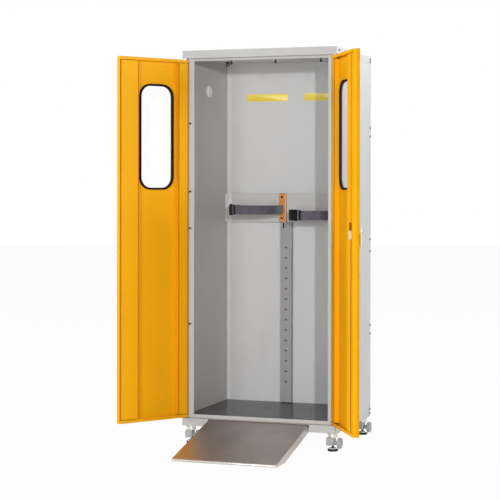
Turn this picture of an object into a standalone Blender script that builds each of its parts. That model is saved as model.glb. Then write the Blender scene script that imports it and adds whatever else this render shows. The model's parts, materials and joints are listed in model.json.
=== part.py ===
"""Gas cylinder cabinet: a sheet-steel cabinet with two glazed doors, a slide-out
loading ramp, a strap rail for two cylinders and four levelling castors.

Metres, +Z up. X runs to the right of someone facing the doors, Y to the back,
and the origin is on the floor below the middle of the whole object as it stands
with its doors open and its ramp down."""
import math

import bmesh
import bpy
from mathutils import Matrix, Vector

# Cabinet body
WIDTH = 0.735
DEPTH = 0.575
HEIGHT = 1.800
LEG_HEIGHT = 0.085
SHEET = 0.0015
GAP = 0.0003
OVERRUN = 0.020
WALL = 0.011
FASCIA_HEIGHT = 0.036
RETURN_DEPTH = 0.026
TOP_LIP = 0.0115
JAMB_WIDTH = 0.046
JAMB_RETURN = 0.014
JAMB_FOOT_LIFT = 0.002
NEST_HEIGHT = 0.026
BACK_INSET = 0.022
CEILING_DROP = 0.018
CEILING_FLANGE = 0.012
EDGE_ROUND_SHARE = 0.5

# Base
SILL_LEDGE_RISE = 0.0345
SILL_SHEET = 0.0012
SILL_FACE_RISE = 0.0495
FLOOR_RISE = 0.048
FLOOR_FLANGE = 0.010
SKIRT_FOOT = 0.018
RAIL_SHEET = 0.003
RAMP_SLOT_HALF = 0.2415

# Ramp and its carriage
RAMP_HALF = 0.2375
RAMP_LENGTH = 0.4526
RAMP_SHEET = 0.0025
RAMP_ABOVE_PIVOT = 0.0125
RAMP_FLANGE = 0.034
RAMP_NOSE_HEIGHT = 0.0115
RAMP_NOSE_HEM = 0.003
RAMP_NOSE_LIFT = 0.0005
RAMP_FLANGE_LIFT = 0.002
RAMP_TAIL = 0.009
RAMP_TAIL_SLOPE = 0.0065
RAMP_NOSE_STOW = 0.012
PIVOT_Y = 0.010
PIVOT_RISE = 0.020
BAR_RADIUS = 0.004
BAR_CLEARANCE = 0.0003
BLOCK_LENGTH = 0.014
BLOCK_WIDTH = 0.014
BLOCK_HEIGHT = 0.016
BLOCK_SIDE_GAP = 0.004
RUNNER_WIDTH = 0.020
RUNNER_TAIL = 0.008

# Doors
HINGE_INSET = 0.011
OPEN_LEFT = 125.0
OPEN_RIGHT = 121.4
DOOR_THICK = 0.024
DOOR_SHEET = 0.0012
DOOR_FOOT_GAP = 0.0023
DOOR_HEAD_GAP = 0.006
DOOR_MEETING_GAP = 0.003
DOOR_EDGE_RADIUS = 0.003
DOOR_LIP = 0.014
HINGE_CHAMFER = 0.0052
FREE_CHANNEL = 0.098
HINGE_CHANNEL = 0.0585
CHANNEL_FOOT = 0.012
CHANNEL_EDGE_GAP = 0.0022
STRIP_OVER = 0.008
STRIP_BACK = 0.004
STRIP_SHEET = 0.0015
WINDOW_U = 0.074
WINDOW_WIDTH = 0.1795
WINDOW_BELOW_HEAD = 0.116
WINDOW_HEIGHT = 0.478
WINDOW_RADIUS = 0.057
GASKET_WIDTH = 0.009
GASKET_FRONT = 0.004
GASKET_BACK = 0.0085
SKIN_GROOVE = 0.0040
GLASS_GROOVE = 0.0035
GLASS_THICK = 0.004
GROOVE_CLEARANCE = 0.0003
CORNER_STEPS = 6

# Hinge pins
PIN_RADIUS = 0.004
PIN_CLEARANCE = 0.0003
PIN_REACH = 0.017
PIN_WASHER_RADIUS = 0.008
UPPER_WASHER = 0.003
LOWER_WASHER = 0.0015

# Lock
LOCK_INSET = 0.040
LOCK_Z = 0.986
CAM_RADIUS = 0.0235
CAM_THICK = 0.003
CAM_BACK_OF_SKIN = 0.0046
CAM_PIN_RADIUS = 0.003
CAM_PIN_THROW = 0.017
CAM_PIN_LENGTH = 0.0072
BOLT_RADIUS = 0.004
BOLT_OFFSET = 0.016
BOLT_DEPTH = 0.0135
BOLT_HOLE_CLEARANCE = 0.0006
UPPER_BOLT_PROUD = 0.0045
KEEPER_CLEARANCE = 0.001
YOKE_THICK = 0.003
YOKE_RIM = 0.004
YOKE_INNER_RIM = 0.003
YOKE_CLEARANCE = 0.0008
ACCESS_WIDTH = 0.030
ACCESS_HEIGHT = 0.066
SPINDLE_RADIUS = 0.004
CASE_WIDTH = 0.036
CASE_HEIGHT = 0.104
CASE_THICK = 0.007
CASE_BEVEL = 0.003
CASE_LOCK_DROP = 0.036
CASE_LOCK_RADIUS = 0.009
CASE_LOCK_PROUD = 0.003
CASE_RISE = 0.004
HANDLE_HUB_RADIUS = 0.012
HANDLE_PROUD = 0.015
HANDLE_LENGTH = 0.062
HANDLE_WIDTH = 0.017
HANDLE_TIP_WIDTH = 0.012
HANDLE_THICK = 0.007
HANDLE_BEVEL = 0.0025

# Cylinder rail, straps and upright
RAIL_FOOT = 1.009
RAIL_HEIGHT = 0.1395
RAIL_DEPTH = 0.028
STRAP_RAIL_SHEET = 0.002
BAY_LEFT_X = 0.1975
BAY_RIGHT_X = 0.506
LOOP_LEFT_RADIUS = 0.1125
LOOP_RIGHT_RADIUS = 0.118
LOOP_BEFORE_RAIL = 0.100
STRAP_THICK = 0.0025
STRAP_HEIGHT = 0.043
STRAP_LEFT_RISE = 0.0615
STRAP_RIGHT_RISE = 0.037
STRAP_DROOP = 0.002
STRAP_TAIL = 0.006
SLOT_OVER_WEB = 0.002
LOOP_STEPS = 24
BUCKLE_START = 8.0
BUCKLE_END = 32.0
BUCKLE_LENGTH = 0.044
BUCKLE_HEIGHT = 0.054
BUCKLE_THICK = 0.013
BUCKLE_INSIDE = 0.0035
BUCKLE_BEVEL = 0.002
WEB_CLEARANCE = 0.0004
WEB_SIDE_CLEARANCE = 0.0045
SLEEVE_LENGTH = 0.026
SLEEVE_BACK = 0.030
SLEEVE_THICK = 0.008
BRACKET_WIDTH = 0.035
BRACKET_SHEET = 0.003
BRACKET_DEPTH = 0.010
UPRIGHT_X = 0.324
UPRIGHT_WIDTH = 0.055
UPRIGHT_DEPTH = 0.025
UPRIGHT_SHEET = 0.002
UPRIGHT_FOOT_GAP = 0.003
SLOT_FIRST = 0.235
SLOT_BELOW_RAIL = 0.124
SLOT_COUNT = 14
SLOT_WIDTH = 0.012
SLOT_HEIGHT = 0.008

# Pipe entry and the plug that closes it
PIPE_Y = 0.296
PIPE_BELOW_TOP = 0.1675
PIPE_HOLE_RADIUS = 0.0235
PLUG_RIM_RADIUS = 0.0275
PLUG_RIM = 0.002
PLUG_HEAD = 0.010
PLUG_HEAD_BEVEL = 0.0035
PLUG_DISH_RADIUS = 0.016
PLUG_DISH = 0.0015

# Levelling castors
CASTOR_IN_X = 0.0285
CASTOR_FRONT_IN = 0.046
CASTOR_REAR_IN = 0.038
PLATE_SIDE = 0.056
PLATE_THICK = 0.003
PLATE_BEVEL = 0.004
BEARING_RADIUS = 0.021
BEARING_FOOT = 0.0615
BODY_LENGTH = 0.044
BODY_WIDTH = 0.035
BODY_OUT = 0.009
BODY_FOOT = 0.026
BODY_BEVEL = 0.005
KING_RADIUS = 0.006
KING_HEIGHT = 0.010
KING_CLEARANCE = 0.0003
WHEEL_RADIUS = 0.0245
WHEEL_WIDTH = 0.015
WHEEL_AXLE_Z = 0.036
WHEEL_BEVEL = 0.003
WHEEL_SIDE_GAP = 0.0155
AXLE_RADIUS = 0.005
AXLE_CLEARANCE = 0.0003
AXLE_HEAD = 0.0085
AXLE_HEAD_THICK = 0.002
COLLAR_SINK = 0.002
PAD_RADIUS = 0.0235
PAD_HEIGHT = 0.014
PAD_NECK_RADIUS = 0.014
PAD_NECK_HEIGHT = 0.004
PAD_BEVEL = 0.002
STEM_RADIUS = 0.005
STEM_TOP = 0.042
STEM_CLEARANCE = 0.0003
STEM_HEADROOM = 0.0125

ROUND_STEPS = 32
PIN_STEPS = 20

# Places that follow from the sizes above
HALF = WIDTH / 2
INNER = HALF - WALL
FASCIA_FOOT = HEIGHT - FASCIA_HEIGHT
BACK_FACE = DEPTH - BACK_INSET
CEILING = HEIGHT - CEILING_DROP
AXIS_X = HALF - HINGE_INSET
AXIS_Y = HINGE_INSET
SILL_LEDGE_TOP = LEG_HEIGHT + SILL_LEDGE_RISE
SILL_FACE_TOP = LEG_HEIGHT + SILL_FACE_RISE
FLOOR_TOP = LEG_HEIGHT + FLOOR_RISE
PIVOT_Z = LEG_HEIGHT + PIVOT_RISE
DOOR_FOOT = SILL_LEDGE_TOP + DOOR_FOOT_GAP
DOOR_HEAD = FASCIA_FOOT - DOOR_HEAD_GAP
WINDOW_HEAD = DOOR_HEAD - WINDOW_BELOW_HEAD
WINDOW_FOOT = WINDOW_HEAD - WINDOW_HEIGHT
DOOR_WIDTH = HALF - DOOR_MEETING_GAP / 2
LOCK_U = DOOR_WIDTH - LOCK_INSET
RAIL_FRONT = BACK_FACE - RAIL_DEPTH
RAIL_HEAD = RAIL_FOOT + RAIL_HEIGHT
LOOP_CENTRE_Y = RAIL_FRONT - LOOP_BEFORE_RAIL
STRAP_LEFT_Z = RAIL_FOOT + STRAP_LEFT_RISE
STRAP_RIGHT_Z = RAIL_FOOT + STRAP_RIGHT_RISE
STRAP_SLOT_HEIGHT = STRAP_HEIGHT + SLOT_OVER_WEB
SLOT_PITCH = (RAIL_FOOT - SLOT_BELOW_RAIL - SLOT_FIRST) / (SLOT_COUNT - 1)
PIPE_Z = HEIGHT - PIPE_BELOW_TOP
CAM_FRONT = DOOR_SHEET + CAM_BACK_OF_SKIN
CAM_REST = math.radians(45)
BOLT_STROKE = 2 * CAM_PIN_THROW * math.sin(CAM_REST)


def ramp_angle():
    """Slope that puts the top of the ramp's nose at its height above the floor."""
    reach = math.hypot(RAMP_LENGTH, RAMP_ABOVE_PIVOT)
    lean = math.atan2(RAMP_ABOVE_PIVOT, RAMP_LENGTH)
    return lean + math.asin((PIVOT_Z - RAMP_NOSE_HEIGHT) / reach)


RAMP_ANGLE = ramp_angle()
RAMP_REACH = RAMP_LENGTH * math.cos(RAMP_ANGLE) + RAMP_ABOVE_PIVOT * math.sin(RAMP_ANGLE) - PIVOT_Y
RAMP_TRAVEL = RAMP_LENGTH - PIVOT_Y + RAMP_NOSE_STOW
FRONT_Y = (RAMP_REACH - DEPTH) / 2

LOOKS = {
    "panel_grey": ((0.60, 0.61, 0.60), 0.45, 0.0),
    "inner_grey": ((0.45, 0.46, 0.46), 0.5, 0.0),
    "door_yellow": ((0.85, 0.36, 0.015), 0.35, 0.0),
    "gasket_black": ((0.012, 0.010, 0.009), 0.7, 0.0),
    "clear_glass": ((0.85, 0.90, 0.88), 0.05, 0.0),
    "stainless": ((0.55, 0.54, 0.52), 0.35, 1.0),
    "zinc": ((0.60, 0.60, 0.58), 0.4, 1.0),
    "bracket_brown": ((0.48, 0.16, 0.04), 0.5, 0.0),
    "webbing_grey": ((0.09, 0.08, 0.12), 0.9, 0.0),
    "plastic_black": ((0.015, 0.015, 0.015), 0.45, 0.0),
    "castor_grey": ((0.62, 0.62, 0.60), 0.5, 0.0),
    "rubber_black": ((0.02, 0.02, 0.02), 0.8, 0.0),
}


def material(name):
    """The material of that name, made on first use."""
    found = bpy.data.materials.get(name)
    if found:
        return found
    colour, roughness, metallic = LOOKS[name]
    made = bpy.data.materials.new(name)
    made.use_nodes = True
    shader = made.node_tree.nodes["Principled BSDF"]
    shader.inputs["Base Color"].default_value = (*colour, 1)
    shader.inputs["Roughness"].default_value = roughness
    shader.inputs["Metallic"].default_value = metallic
    made.diffuse_color = (*colour, 1)
    return made


def mesh_of(verts, faces):
    """A closed mesh from points and faces, with its faces turned outwards."""
    work = bmesh.new()
    points = [work.verts.new(v) for v in verts]
    for face in faces:
        work.faces.new([points[i] for i in face])
    bmesh.ops.recalc_face_normals(work, faces=work.faces)
    mesh = bpy.data.meshes.new("form")
    work.to_mesh(mesh)
    work.free()
    return mesh


def box(x0, x1, y0, y1, z0, z1):
    """A block between two corners."""
    xs = sorted((x0, x1))
    ys = sorted((y0, y1))
    zs = sorted((z0, z1))
    verts = [(x, y, z) for x in xs for y in ys for z in zs]
    faces = [(0, 1, 3, 2), (4, 6, 7, 5), (0, 4, 5, 1), (2, 3, 7, 6), (0, 2, 6, 4), (1, 5, 7, 3)]
    return mesh_of(verts, faces)


def prism(outline, axis, low, high):
    """An outline drawn across an axis and extruded along it."""
    def at(point, along):
        a, b = point
        if axis == "X":
            return (along, a, b)
        if axis == "Y":
            return (a, along, b)
        return (a, b, along)
    count = len(outline)
    verts = [at(p, low) for p in outline] + [at(p, high) for p in outline]
    faces = [tuple(range(count)), tuple(range(count, 2 * count))]
    for i in range(count):
        j = (i + 1) % count
        faces.append((i, j, count + j, count + i))
    return mesh_of(verts, faces)


def loft(rings):
    """A tube through rings of points, the last joined to the first."""
    count = len(rings[0])
    verts = [p for ring in rings for p in ring]
    faces = []
    for r in range(len(rings)):
        s = (r + 1) % len(rings)
        for i in range(count):
            j = (i + 1) % count
            faces.append((r * count + i, r * count + j, s * count + j, s * count + i))
    return mesh_of(verts, faces)


def turned(profile, centre, axis, steps=ROUND_STEPS):
    """A solid of revolution: (radius, height) pairs from one end to the other."""
    cx, cy, cz = centre

    def at(radius, height, angle):
        a = radius * math.cos(angle)
        b = radius * math.sin(angle)
        if axis == "X":
            return (cx + height, cy + a, cz + b)
        if axis == "Y":
            return (cx + a, cy + height, cz + b)
        return (cx + a, cy + b, cz + height)
    closed = profile[0][0] > 0
    verts = []
    rings = []
    for radius, height in profile:
        if radius == 0:
            rings.append([len(verts)])
            verts.append(at(0, height, 0))
            continue
        rings.append(list(range(len(verts), len(verts) + steps)))
        verts += [at(radius, height, 2 * math.pi * i / steps) for i in range(steps)]
    faces = []
    pairs = list(zip(rings, rings[1:]))
    if closed:
        pairs.append((rings[-1], rings[0]))
    for one, two in pairs:
        for i in range(steps):
            j = (i + 1) % steps
            face = [one[i % len(one)], one[j % len(one)], two[j % len(two)], two[i % len(two)]]
            faces.append(tuple(dict.fromkeys(face)))
    return mesh_of(verts, faces)


def rod(radius, low, high, centre, axis, steps=PIN_STEPS):
    """A plain round bar along an axis."""
    return turned([(0, low), (radius, low), (radius, high), (0, high)], centre, axis, steps)


def combined(mesh, others, operation):
    """The mesh with the others cut out of it, or joined to it, one by one."""
    subject = bpy.data.objects.new("subject", mesh)
    bpy.context.scene.collection.objects.link(subject)
    helpers = []
    for other in others:
        helper = bpy.data.objects.new("helper", other)
        helper.hide_render = True
        helper.display_type = "WIRE"
        bpy.context.scene.collection.objects.link(helper)
        helpers.append(helper)
        step = subject.modifiers.new(operation.lower(), "BOOLEAN")
        step.operation = operation
        step.solver = "EXACT"
        step.object = helper
    bpy.context.view_layer.update()
    seen = subject.evaluated_get(bpy.context.evaluated_depsgraph_get())
    result = bpy.data.meshes.new_from_object(seen)
    for leftover in [subject, *helpers]:
        bpy.data.objects.remove(leftover, do_unlink=True)
    return result


def cut(mesh, *others):
    return combined(mesh, others, "DIFFERENCE")


def joined(mesh, *others):
    return combined(mesh, others, "UNION")


def softened(mesh, width, test=None):
    """The mesh with its sharp edges rounded over, or only those that pass a test."""
    work = bmesh.new()
    work.from_mesh(mesh)
    edges = [e for e in work.edges if not test or test(e)]
    bmesh.ops.bevel(work, geom=edges, offset=width, segments=2, profile=EDGE_ROUND_SHARE,
                     affect="EDGES")
    work.to_mesh(mesh)
    work.free()
    return mesh


def piece(name, mesh, look, parent, at=(0, 0, 0), turn=(0, 0, 0)):
    """One named piece of the object under its parent."""
    made = bpy.data.objects.new(name, mesh)
    mesh.name = name
    mesh.materials.clear()
    mesh.materials.append(material(look))
    mesh.shade_smooth()
    mesh.set_sharp_from_angle(angle=math.radians(30))
    made.parent = parent
    made.location = at
    made.rotation_euler = turn
    bpy.context.scene.collection.objects.link(made)
    return made


def axis_empty(name, parent, at, turn=(0, 0, 0)):
    """An empty that marks a joint's axis and carries what turns or slides there."""
    made = bpy.data.objects.new(name, None)
    made.parent = parent
    made.location = at
    made.rotation_euler = turn
    bpy.context.scene.collection.objects.link(made)
    return made


def rounded_rect(u0, u1, z0, z1, radius, inset):
    """Points round a rectangle with round corners, drawn in from its outline."""
    a0, a1 = u0 + inset, u1 - inset
    b0, b1 = z0 + inset, z1 - inset
    r = radius - inset
    points = []
    corners = ((a1 - r, b1 - r, 0), (a0 + r, b1 - r, 90), (a0 + r, b0 + r, 180), (a1 - r, b0 + r, 270))
    for cx, cz, start in corners:
        for i in range(CORNER_STEPS + 1):
            angle = math.radians(start + 90 * i / CORNER_STEPS)
            points.append((cx + r * math.cos(angle), cz + r * math.sin(angle)))
    return points


def side_panel(side):
    """Double-skinned side wall, open below, with its jamb flange, stepped back at the door."""
    outer = side * HALF
    inner = side * INNER
    jamb = side * (HALF - JAMB_WIDTH)
    head = FASCIA_FOOT - GAP
    foot = SILL_LEDGE_TOP - SILL_SHEET - GAP
    wall = [(SHEET + GAP, LEG_HEIGHT), (DEPTH, LEG_HEIGHT), (DEPTH, head), (RETURN_DEPTH, head),
            (RETURN_DEPTH, foot), (SHEET + GAP, foot)]
    slab = prism(wall, "X", outer, inner)
    nest = box(outer - side * (SHEET + GAP), inner, RETURN_DEPTH + SHEET + GAP, DEPTH - SHEET - GAP,
               head - SHEET, head + NEST_HEIGHT)
    face = box(outer - side * WALL / 2, jamb, RETURN_DEPTH, RETURN_DEPTH + SHEET,
               SILL_FACE_TOP + GAP, head)
    turn_in = box(jamb, jamb + side * SHEET, RETURN_DEPTH + SHEET / 2, RETURN_DEPTH + JAMB_RETURN,
                  SILL_FACE_TOP + JAMB_FOOT_LIFT, head)
    hollow = box(outer - side * SHEET, inner + side * SHEET, RETURN_DEPTH + SHEET, DEPTH - SHEET,
                 LEG_HEIGHT - OVERRUN, head - 2 * SHEET)
    whole = cut(joined(slab, nest, face, turn_in), hollow)
    if side < 0:
        hole = rod(PIPE_HOLE_RADIUS, -OVERRUN, OVERRUN, (outer, PIPE_Y, PIPE_Z), "X", ROUND_STEPS)
        whole = cut(whole, hole)
    return whole


def roof_panel(keeper_x):
    """Cap with its fascia, turned in over the doors and down again behind them."""
    cap = box(-HALF, HALF, 0, DEPTH, FASCIA_FOOT, HEIGHT)
    deep = box(SHEET - HALF, HALF - SHEET, RETURN_DEPTH + SHEET, DEPTH - SHEET,
               FASCIA_FOOT - OVERRUN, HEIGHT - SHEET)
    front = box(SHEET - HALF, HALF - SHEET, SHEET, RETURN_DEPTH + SHEET + GAP,
                FASCIA_FOOT + SHEET, HEIGHT - SHEET)
    lip_half = HALF - JAMB_WIDTH - GAP
    lip = box(-lip_half, lip_half, RETURN_DEPTH, RETURN_DEPTH + SHEET,
              FASCIA_FOOT - TOP_LIP, FASCIA_FOOT + SHEET / 2)
    keeper = rod(BOLT_RADIUS + KEEPER_CLEARANCE, -OVERRUN, OVERRUN / 2,
                 (keeper_x, BOLT_DEPTH, FASCIA_FOOT), "Z")
    return cut(joined(cut(cap, deep, front), lip), keeper)


def tray(x0, x1, y0, y1, z0, z1, sheet):
    """A flat sheet with its four edges turned down."""
    return cut(box(x0, x1, y0, y1, z0, z1),
               box(x0 + sheet, x1 - sheet, y0 + sheet, y1 - sheet, z0 - OVERRUN, z1 - sheet))


def carcass(root):
    bolt_x = AXIS_X - (LOCK_U + BOLT_OFFSET - HINGE_INSET)
    low_bolt_x = AXIS_X - (LOCK_U - BOLT_OFFSET - HINGE_INSET)
    piece("side_panel_left", side_panel(-1), "panel_grey", root)
    piece("side_panel_right", side_panel(1), "panel_grey", root)
    piece("roof_panel", roof_panel(bolt_x), "panel_grey", root)
    free = INNER - GAP
    back_rear = DEPTH - SHEET - GAP
    back = cut(box(-free, free, BACK_FACE, back_rear, LEG_HEIGHT, FASCIA_FOOT + NEST_HEIGHT),
               box(SHEET - free, free - SHEET, BACK_FACE + SHEET, back_rear + OVERRUN,
                   LEG_HEIGHT + SHEET, FASCIA_FOOT + NEST_HEIGHT - SHEET))
    piece("back_panel", back, "panel_grey", root)
    front_in = RETURN_DEPTH + SHEET + GAP
    ceiling = cut(box(-free, free, front_in, BACK_FACE - GAP, CEILING, CEILING + CEILING_FLANGE),
                  box(SHEET - free, free - SHEET, front_in + SHEET, BACK_FACE - GAP - SHEET,
                      CEILING + SHEET, CEILING + CEILING_FLANGE + OVERRUN))
    piece("ceiling_panel", ceiling, "inner_grey", root)
    floor = tray(-free, free, front_in, BACK_FACE - GAP,
                 FLOOR_TOP - SHEET - FLOOR_FLANGE, FLOOR_TOP, SHEET)
    piece("floor_plate", floor, "inner_grey", root)
    ledge = SILL_LEDGE_TOP - SILL_SHEET
    sill_profile = [(0, ledge), (RETURN_DEPTH + SILL_SHEET, ledge),
                    (RETURN_DEPTH + SILL_SHEET, SILL_FACE_TOP), (RETURN_DEPTH, SILL_FACE_TOP),
                    (RETURN_DEPTH, SILL_LEDGE_TOP), (0, SILL_LEDGE_TOP)]
    sill = prism(sill_profile, "X", -free, free)
    wing = SILL_SHEET / 2
    ears = [box(side * (free - wing), side * HALF, 0, RETURN_DEPTH - GAP, ledge, SILL_LEDGE_TOP)
            for side in (-1, 1)]
    keeper = rod(BOLT_RADIUS + KEEPER_CLEARANCE, -OVERRUN, OVERRUN,
                 (low_bolt_x, BOLT_DEPTH, ledge), "Z")
    piece("sill_rail", cut(joined(sill, *ears), keeper), "panel_grey", root)
    for side, word in ((-1, "left"), (1, "right")):
        skirt_top = ledge - GAP
        near = side * RAMP_SLOT_HALF
        skirt = joined(box(near, side * HALF, 0, SHEET, LEG_HEIGHT, skirt_top),
                       box(near, side * (INNER - GAP), SHEET / 2, SKIRT_FOOT,
                           LEG_HEIGHT, LEG_HEIGHT + SHEET))
        piece("skirt_" + word, skirt, "panel_grey", root)
        runner_out = RAMP_SLOT_HALF + RUNNER_WIDTH
        rail_in = runner_out + GAP
        rail_top = FLOOR_TOP - SHEET - FLOOR_FLANGE - GAP
        profile = [(rail_in, LEG_HEIGHT), (free, LEG_HEIGHT), (free, LEG_HEIGHT + RAIL_SHEET),
                   (rail_in + RAIL_SHEET, LEG_HEIGHT + RAIL_SHEET),
                   (rail_in + RAIL_SHEET, rail_top - RAIL_SHEET), (free, rail_top - RAIL_SHEET),
                   (free, rail_top), (rail_in, rail_top)]
        rail = prism([(side * x, z) for x, z in profile], "Y", front_in, BACK_FACE - GAP)
        piece("base_rail_" + word, rail, "inner_grey", root)
        tall = BLOCK_HEIGHT / 2 + GAP
        sheet = SHEET
        channel = [(RAMP_SLOT_HALF, PIVOT_Z - tall - sheet), (runner_out, PIVOT_Z - tall - sheet),
                   (runner_out, PIVOT_Z + tall + sheet), (RAMP_SLOT_HALF, PIVOT_Z + tall + sheet),
                   (RAMP_SLOT_HALF, PIVOT_Z + tall), (runner_out - sheet, PIVOT_Z + tall),
                   (runner_out - sheet, PIVOT_Z - tall), (RAMP_SLOT_HALF, PIVOT_Z - tall)]
        runner_end = PIVOT_Y + RAMP_TRAVEL + BLOCK_LENGTH / 2 + RUNNER_TAIL
        runner = prism([(side * x, z) for x, z in channel], "Y", SHEET + GAP, runner_end)
        piece("runner_" + word, runner, "zinc", root)


def ramp_parts(root):
    carriage = axis_empty("ramp_slide", root, (0, PIVOT_Y, PIVOT_Z))
    bar_half = RAMP_SLOT_HALF + BLOCK_SIDE_GAP
    blocks = [box(side * (bar_half - BAR_CLEARANCE), side * (bar_half + BLOCK_WIDTH),
                  -BLOCK_LENGTH / 2, BLOCK_LENGTH / 2, -BLOCK_HEIGHT / 2, BLOCK_HEIGHT / 2)
              for side in (-1, 1)]
    bar = rod(BAR_RADIUS, -bar_half - BLOCK_WIDTH / 2, bar_half + BLOCK_WIDTH / 2, (0, 0, 0), "X")
    piece("ramp_carriage", joined(bar, *blocks), "zinc", carriage)
    tilt = axis_empty("ramp_tilt", carriage, (0, 0, 0), (RAMP_ANGLE, 0, 0))
    sine, cosine = math.sin(RAMP_ANGLE), math.cos(RAMP_ANGLE)

    def above_floor(y, lift):
        return (lift - PIVOT_Z - y * sine) / cosine
    low = RAMP_ABOVE_PIVOT - RAMP_FLANGE
    knee = (RAMP_FLANGE_LIFT - PIVOT_Z - low * cosine) / sine
    nose = -RAMP_LENGTH
    toe = nose + RAMP_NOSE_HEM
    outline = [(RAMP_TAIL, low), (RAMP_TAIL, RAMP_ABOVE_PIVOT - RAMP_TAIL_SLOPE),
               (0, RAMP_ABOVE_PIVOT), (nose, RAMP_ABOVE_PIVOT),
               (nose, above_floor(nose, RAMP_NOSE_LIFT)), (toe, above_floor(toe, RAMP_NOSE_LIFT)),
               (toe, above_floor(toe, RAMP_FLANGE_LIFT)), (knee, low)]
    shell = prism(outline, "X", -RAMP_HALF, RAMP_HALF)
    inside = box(RAMP_SHEET - RAMP_HALF, RAMP_HALF - RAMP_SHEET, toe, RAMP_TAIL + OVERRUN,
                 low - OVERRUN, RAMP_ABOVE_PIVOT - RAMP_SHEET)
    hole = rod(BAR_RADIUS + BAR_CLEARANCE, -RAMP_HALF - OVERRUN, RAMP_HALF + OVERRUN, (0, 0, 0), "X")
    piece("ramp", cut(shell, inside, hole), "stainless", tilt)


def along(side, u):
    """Distance from the hinge axis of a place on a door, in the door's own frame."""
    return -side * (u - HINGE_INSET)


def door_depth(y):
    return y - HINGE_INSET


def door_box(side, u0, u1, y0, y1, z0, z1):
    return box(along(side, u0), along(side, u1), door_depth(y0), door_depth(y1), z0, z1)


def door_prism(side, outline, z0, z1):
    return prism([(along(side, u), door_depth(y)) for u, y in outline], "Z", z0, z1)


def door_pan(side):
    """Outer skin with its turned edges; the right one carries the meeting strip."""
    r = DOOR_EDGE_RADIUS
    t = DOOR_SHEET
    edge = DOOR_THICK - HINGE_CHAMFER
    outline = []
    for i in range(CORNER_STEPS + 1):
        angle = math.radians(180 + 90 * i / CORNER_STEPS)
        outline.append((r + r * math.cos(angle), r + r * math.sin(angle)))
    if side > 0:
        outline += [(DOOR_WIDTH - STRIP_BACK, 0), (DOOR_WIDTH - STRIP_BACK, -STRIP_SHEET),
                    (DOOR_WIDTH + STRIP_OVER, -STRIP_SHEET), (DOOR_WIDTH + STRIP_OVER, -GAP),
                    (DOOR_WIDTH, -GAP)]
    else:
        outline += [(DOOR_WIDTH, 0)]
    outline += [(DOOR_WIDTH, DOOR_THICK), (HINGE_CHAMFER, DOOR_THICK), (0, edge)]
    whole = door_prism(side, outline, DOOR_FOOT, DOOR_HEAD)
    pocket = [(r, t), (DOOR_WIDTH - t, t), (DOOR_WIDTH - t, DOOR_THICK - t),
              (HINGE_CHAMFER + t / 2, DOOR_THICK - t), (t, edge - t / 2), (t, r)]
    hollow = door_prism(side, pocket, DOOR_FOOT + t, DOOR_HEAD - t)
    mouth = [(t, edge - 2 * t), (t - HINGE_CHAMFER, DOOR_THICK + OVERRUN / 2),
             (DOOR_WIDTH - t, DOOR_THICK + OVERRUN / 2), (DOOR_WIDTH - t, edge - 2 * t)]
    opening = door_prism(side, mouth, DOOR_FOOT + DOOR_LIP, DOOR_HEAD - DOOR_LIP)
    window = rounded_rect(WINDOW_U, WINDOW_U + WINDOW_WIDTH, WINDOW_FOOT, WINDOW_HEAD, WINDOW_RADIUS,
                          SKIN_GROOVE - GROOVE_CLEARANCE)
    window = prism([(along(side, u), z) for u, z in window], "Y",
                   door_depth(-OVERRUN), door_depth(t + GASKET_BACK / 2))
    pins = [rod(PIN_RADIUS + PIN_CLEARANCE, -OVERRUN / 2, OVERRUN / 2, (0, 0, z), "Z")
            for z in (DOOR_FOOT, DOOR_HEAD)]
    cutters = [hollow, opening, window, *pins]
    if side > 0:
        for offset, z in ((BOLT_OFFSET, DOOR_HEAD), (-BOLT_OFFSET, DOOR_FOOT)):
            centre = (along(side, LOCK_U + offset), door_depth(BOLT_DEPTH), z)
            cutters.append(rod(BOLT_RADIUS + BOLT_HOLE_CLEARANCE, -OVERRUN / 2, OVERRUN / 2, centre, "Z"))
        centre = (along(side, LOCK_U), 0, LOCK_Z)
        cutters.append(rod(SPINDLE_RADIUS + PIN_CLEARANCE, -OVERRUN, door_depth(t + OVERRUN / 4),
                           centre, "Y"))
    return cut(whole, *cutters)


def free_channel(side):
    """Folded channel down the free edge; the right one has the access opening."""
    t = DOOR_SHEET
    start = DOOR_WIDTH - FREE_CHANNEL
    end = DOOR_WIDTH - t - CHANNEL_EDGE_GAP
    skin = t + GAP
    outline = [(start, skin), (start + CHANNEL_FOOT, skin), (start + CHANNEL_FOOT, skin + t),
               (start + t, skin + t), (start + t, DOOR_THICK - t), (end, DOOR_THICK - t),
               (end, DOOR_THICK), (start, DOOR_THICK)]
    channel = door_prism(side, outline, DOOR_FOOT + DOOR_LIP + CHANNEL_EDGE_GAP,
                         DOOR_HEAD - DOOR_LIP - CHANNEL_EDGE_GAP)
    if side < 0:
        return channel
    access = door_box(side, LOCK_U - ACCESS_WIDTH / 2, LOCK_U + ACCESS_WIDTH / 2,
                      DOOR_THICK - 2 * t, DOOR_THICK + OVERRUN,
                      LOCK_Z - ACCESS_HEIGHT / 2, LOCK_Z + ACCESS_HEIGHT / 2)
    return cut(channel, access)


def hinge_channel(side):
    """Folded channel down the hinge edge."""
    t = DOOR_SHEET
    start = HINGE_CHAMFER + t + CHANNEL_EDGE_GAP
    skin = t + GAP
    end = HINGE_CHANNEL
    outline = [(end, skin), (end - CHANNEL_FOOT, skin), (end - CHANNEL_FOOT, skin + t),
               (end - t, skin + t), (end - t, DOOR_THICK - t), (start, DOOR_THICK - t),
               (start, DOOR_THICK), (end, DOOR_THICK)]
    return door_prism(side, outline, DOOR_FOOT + DOOR_LIP + CHANNEL_EDGE_GAP,
                      DOOR_HEAD - DOOR_LIP - CHANNEL_EDGE_GAP)


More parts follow.
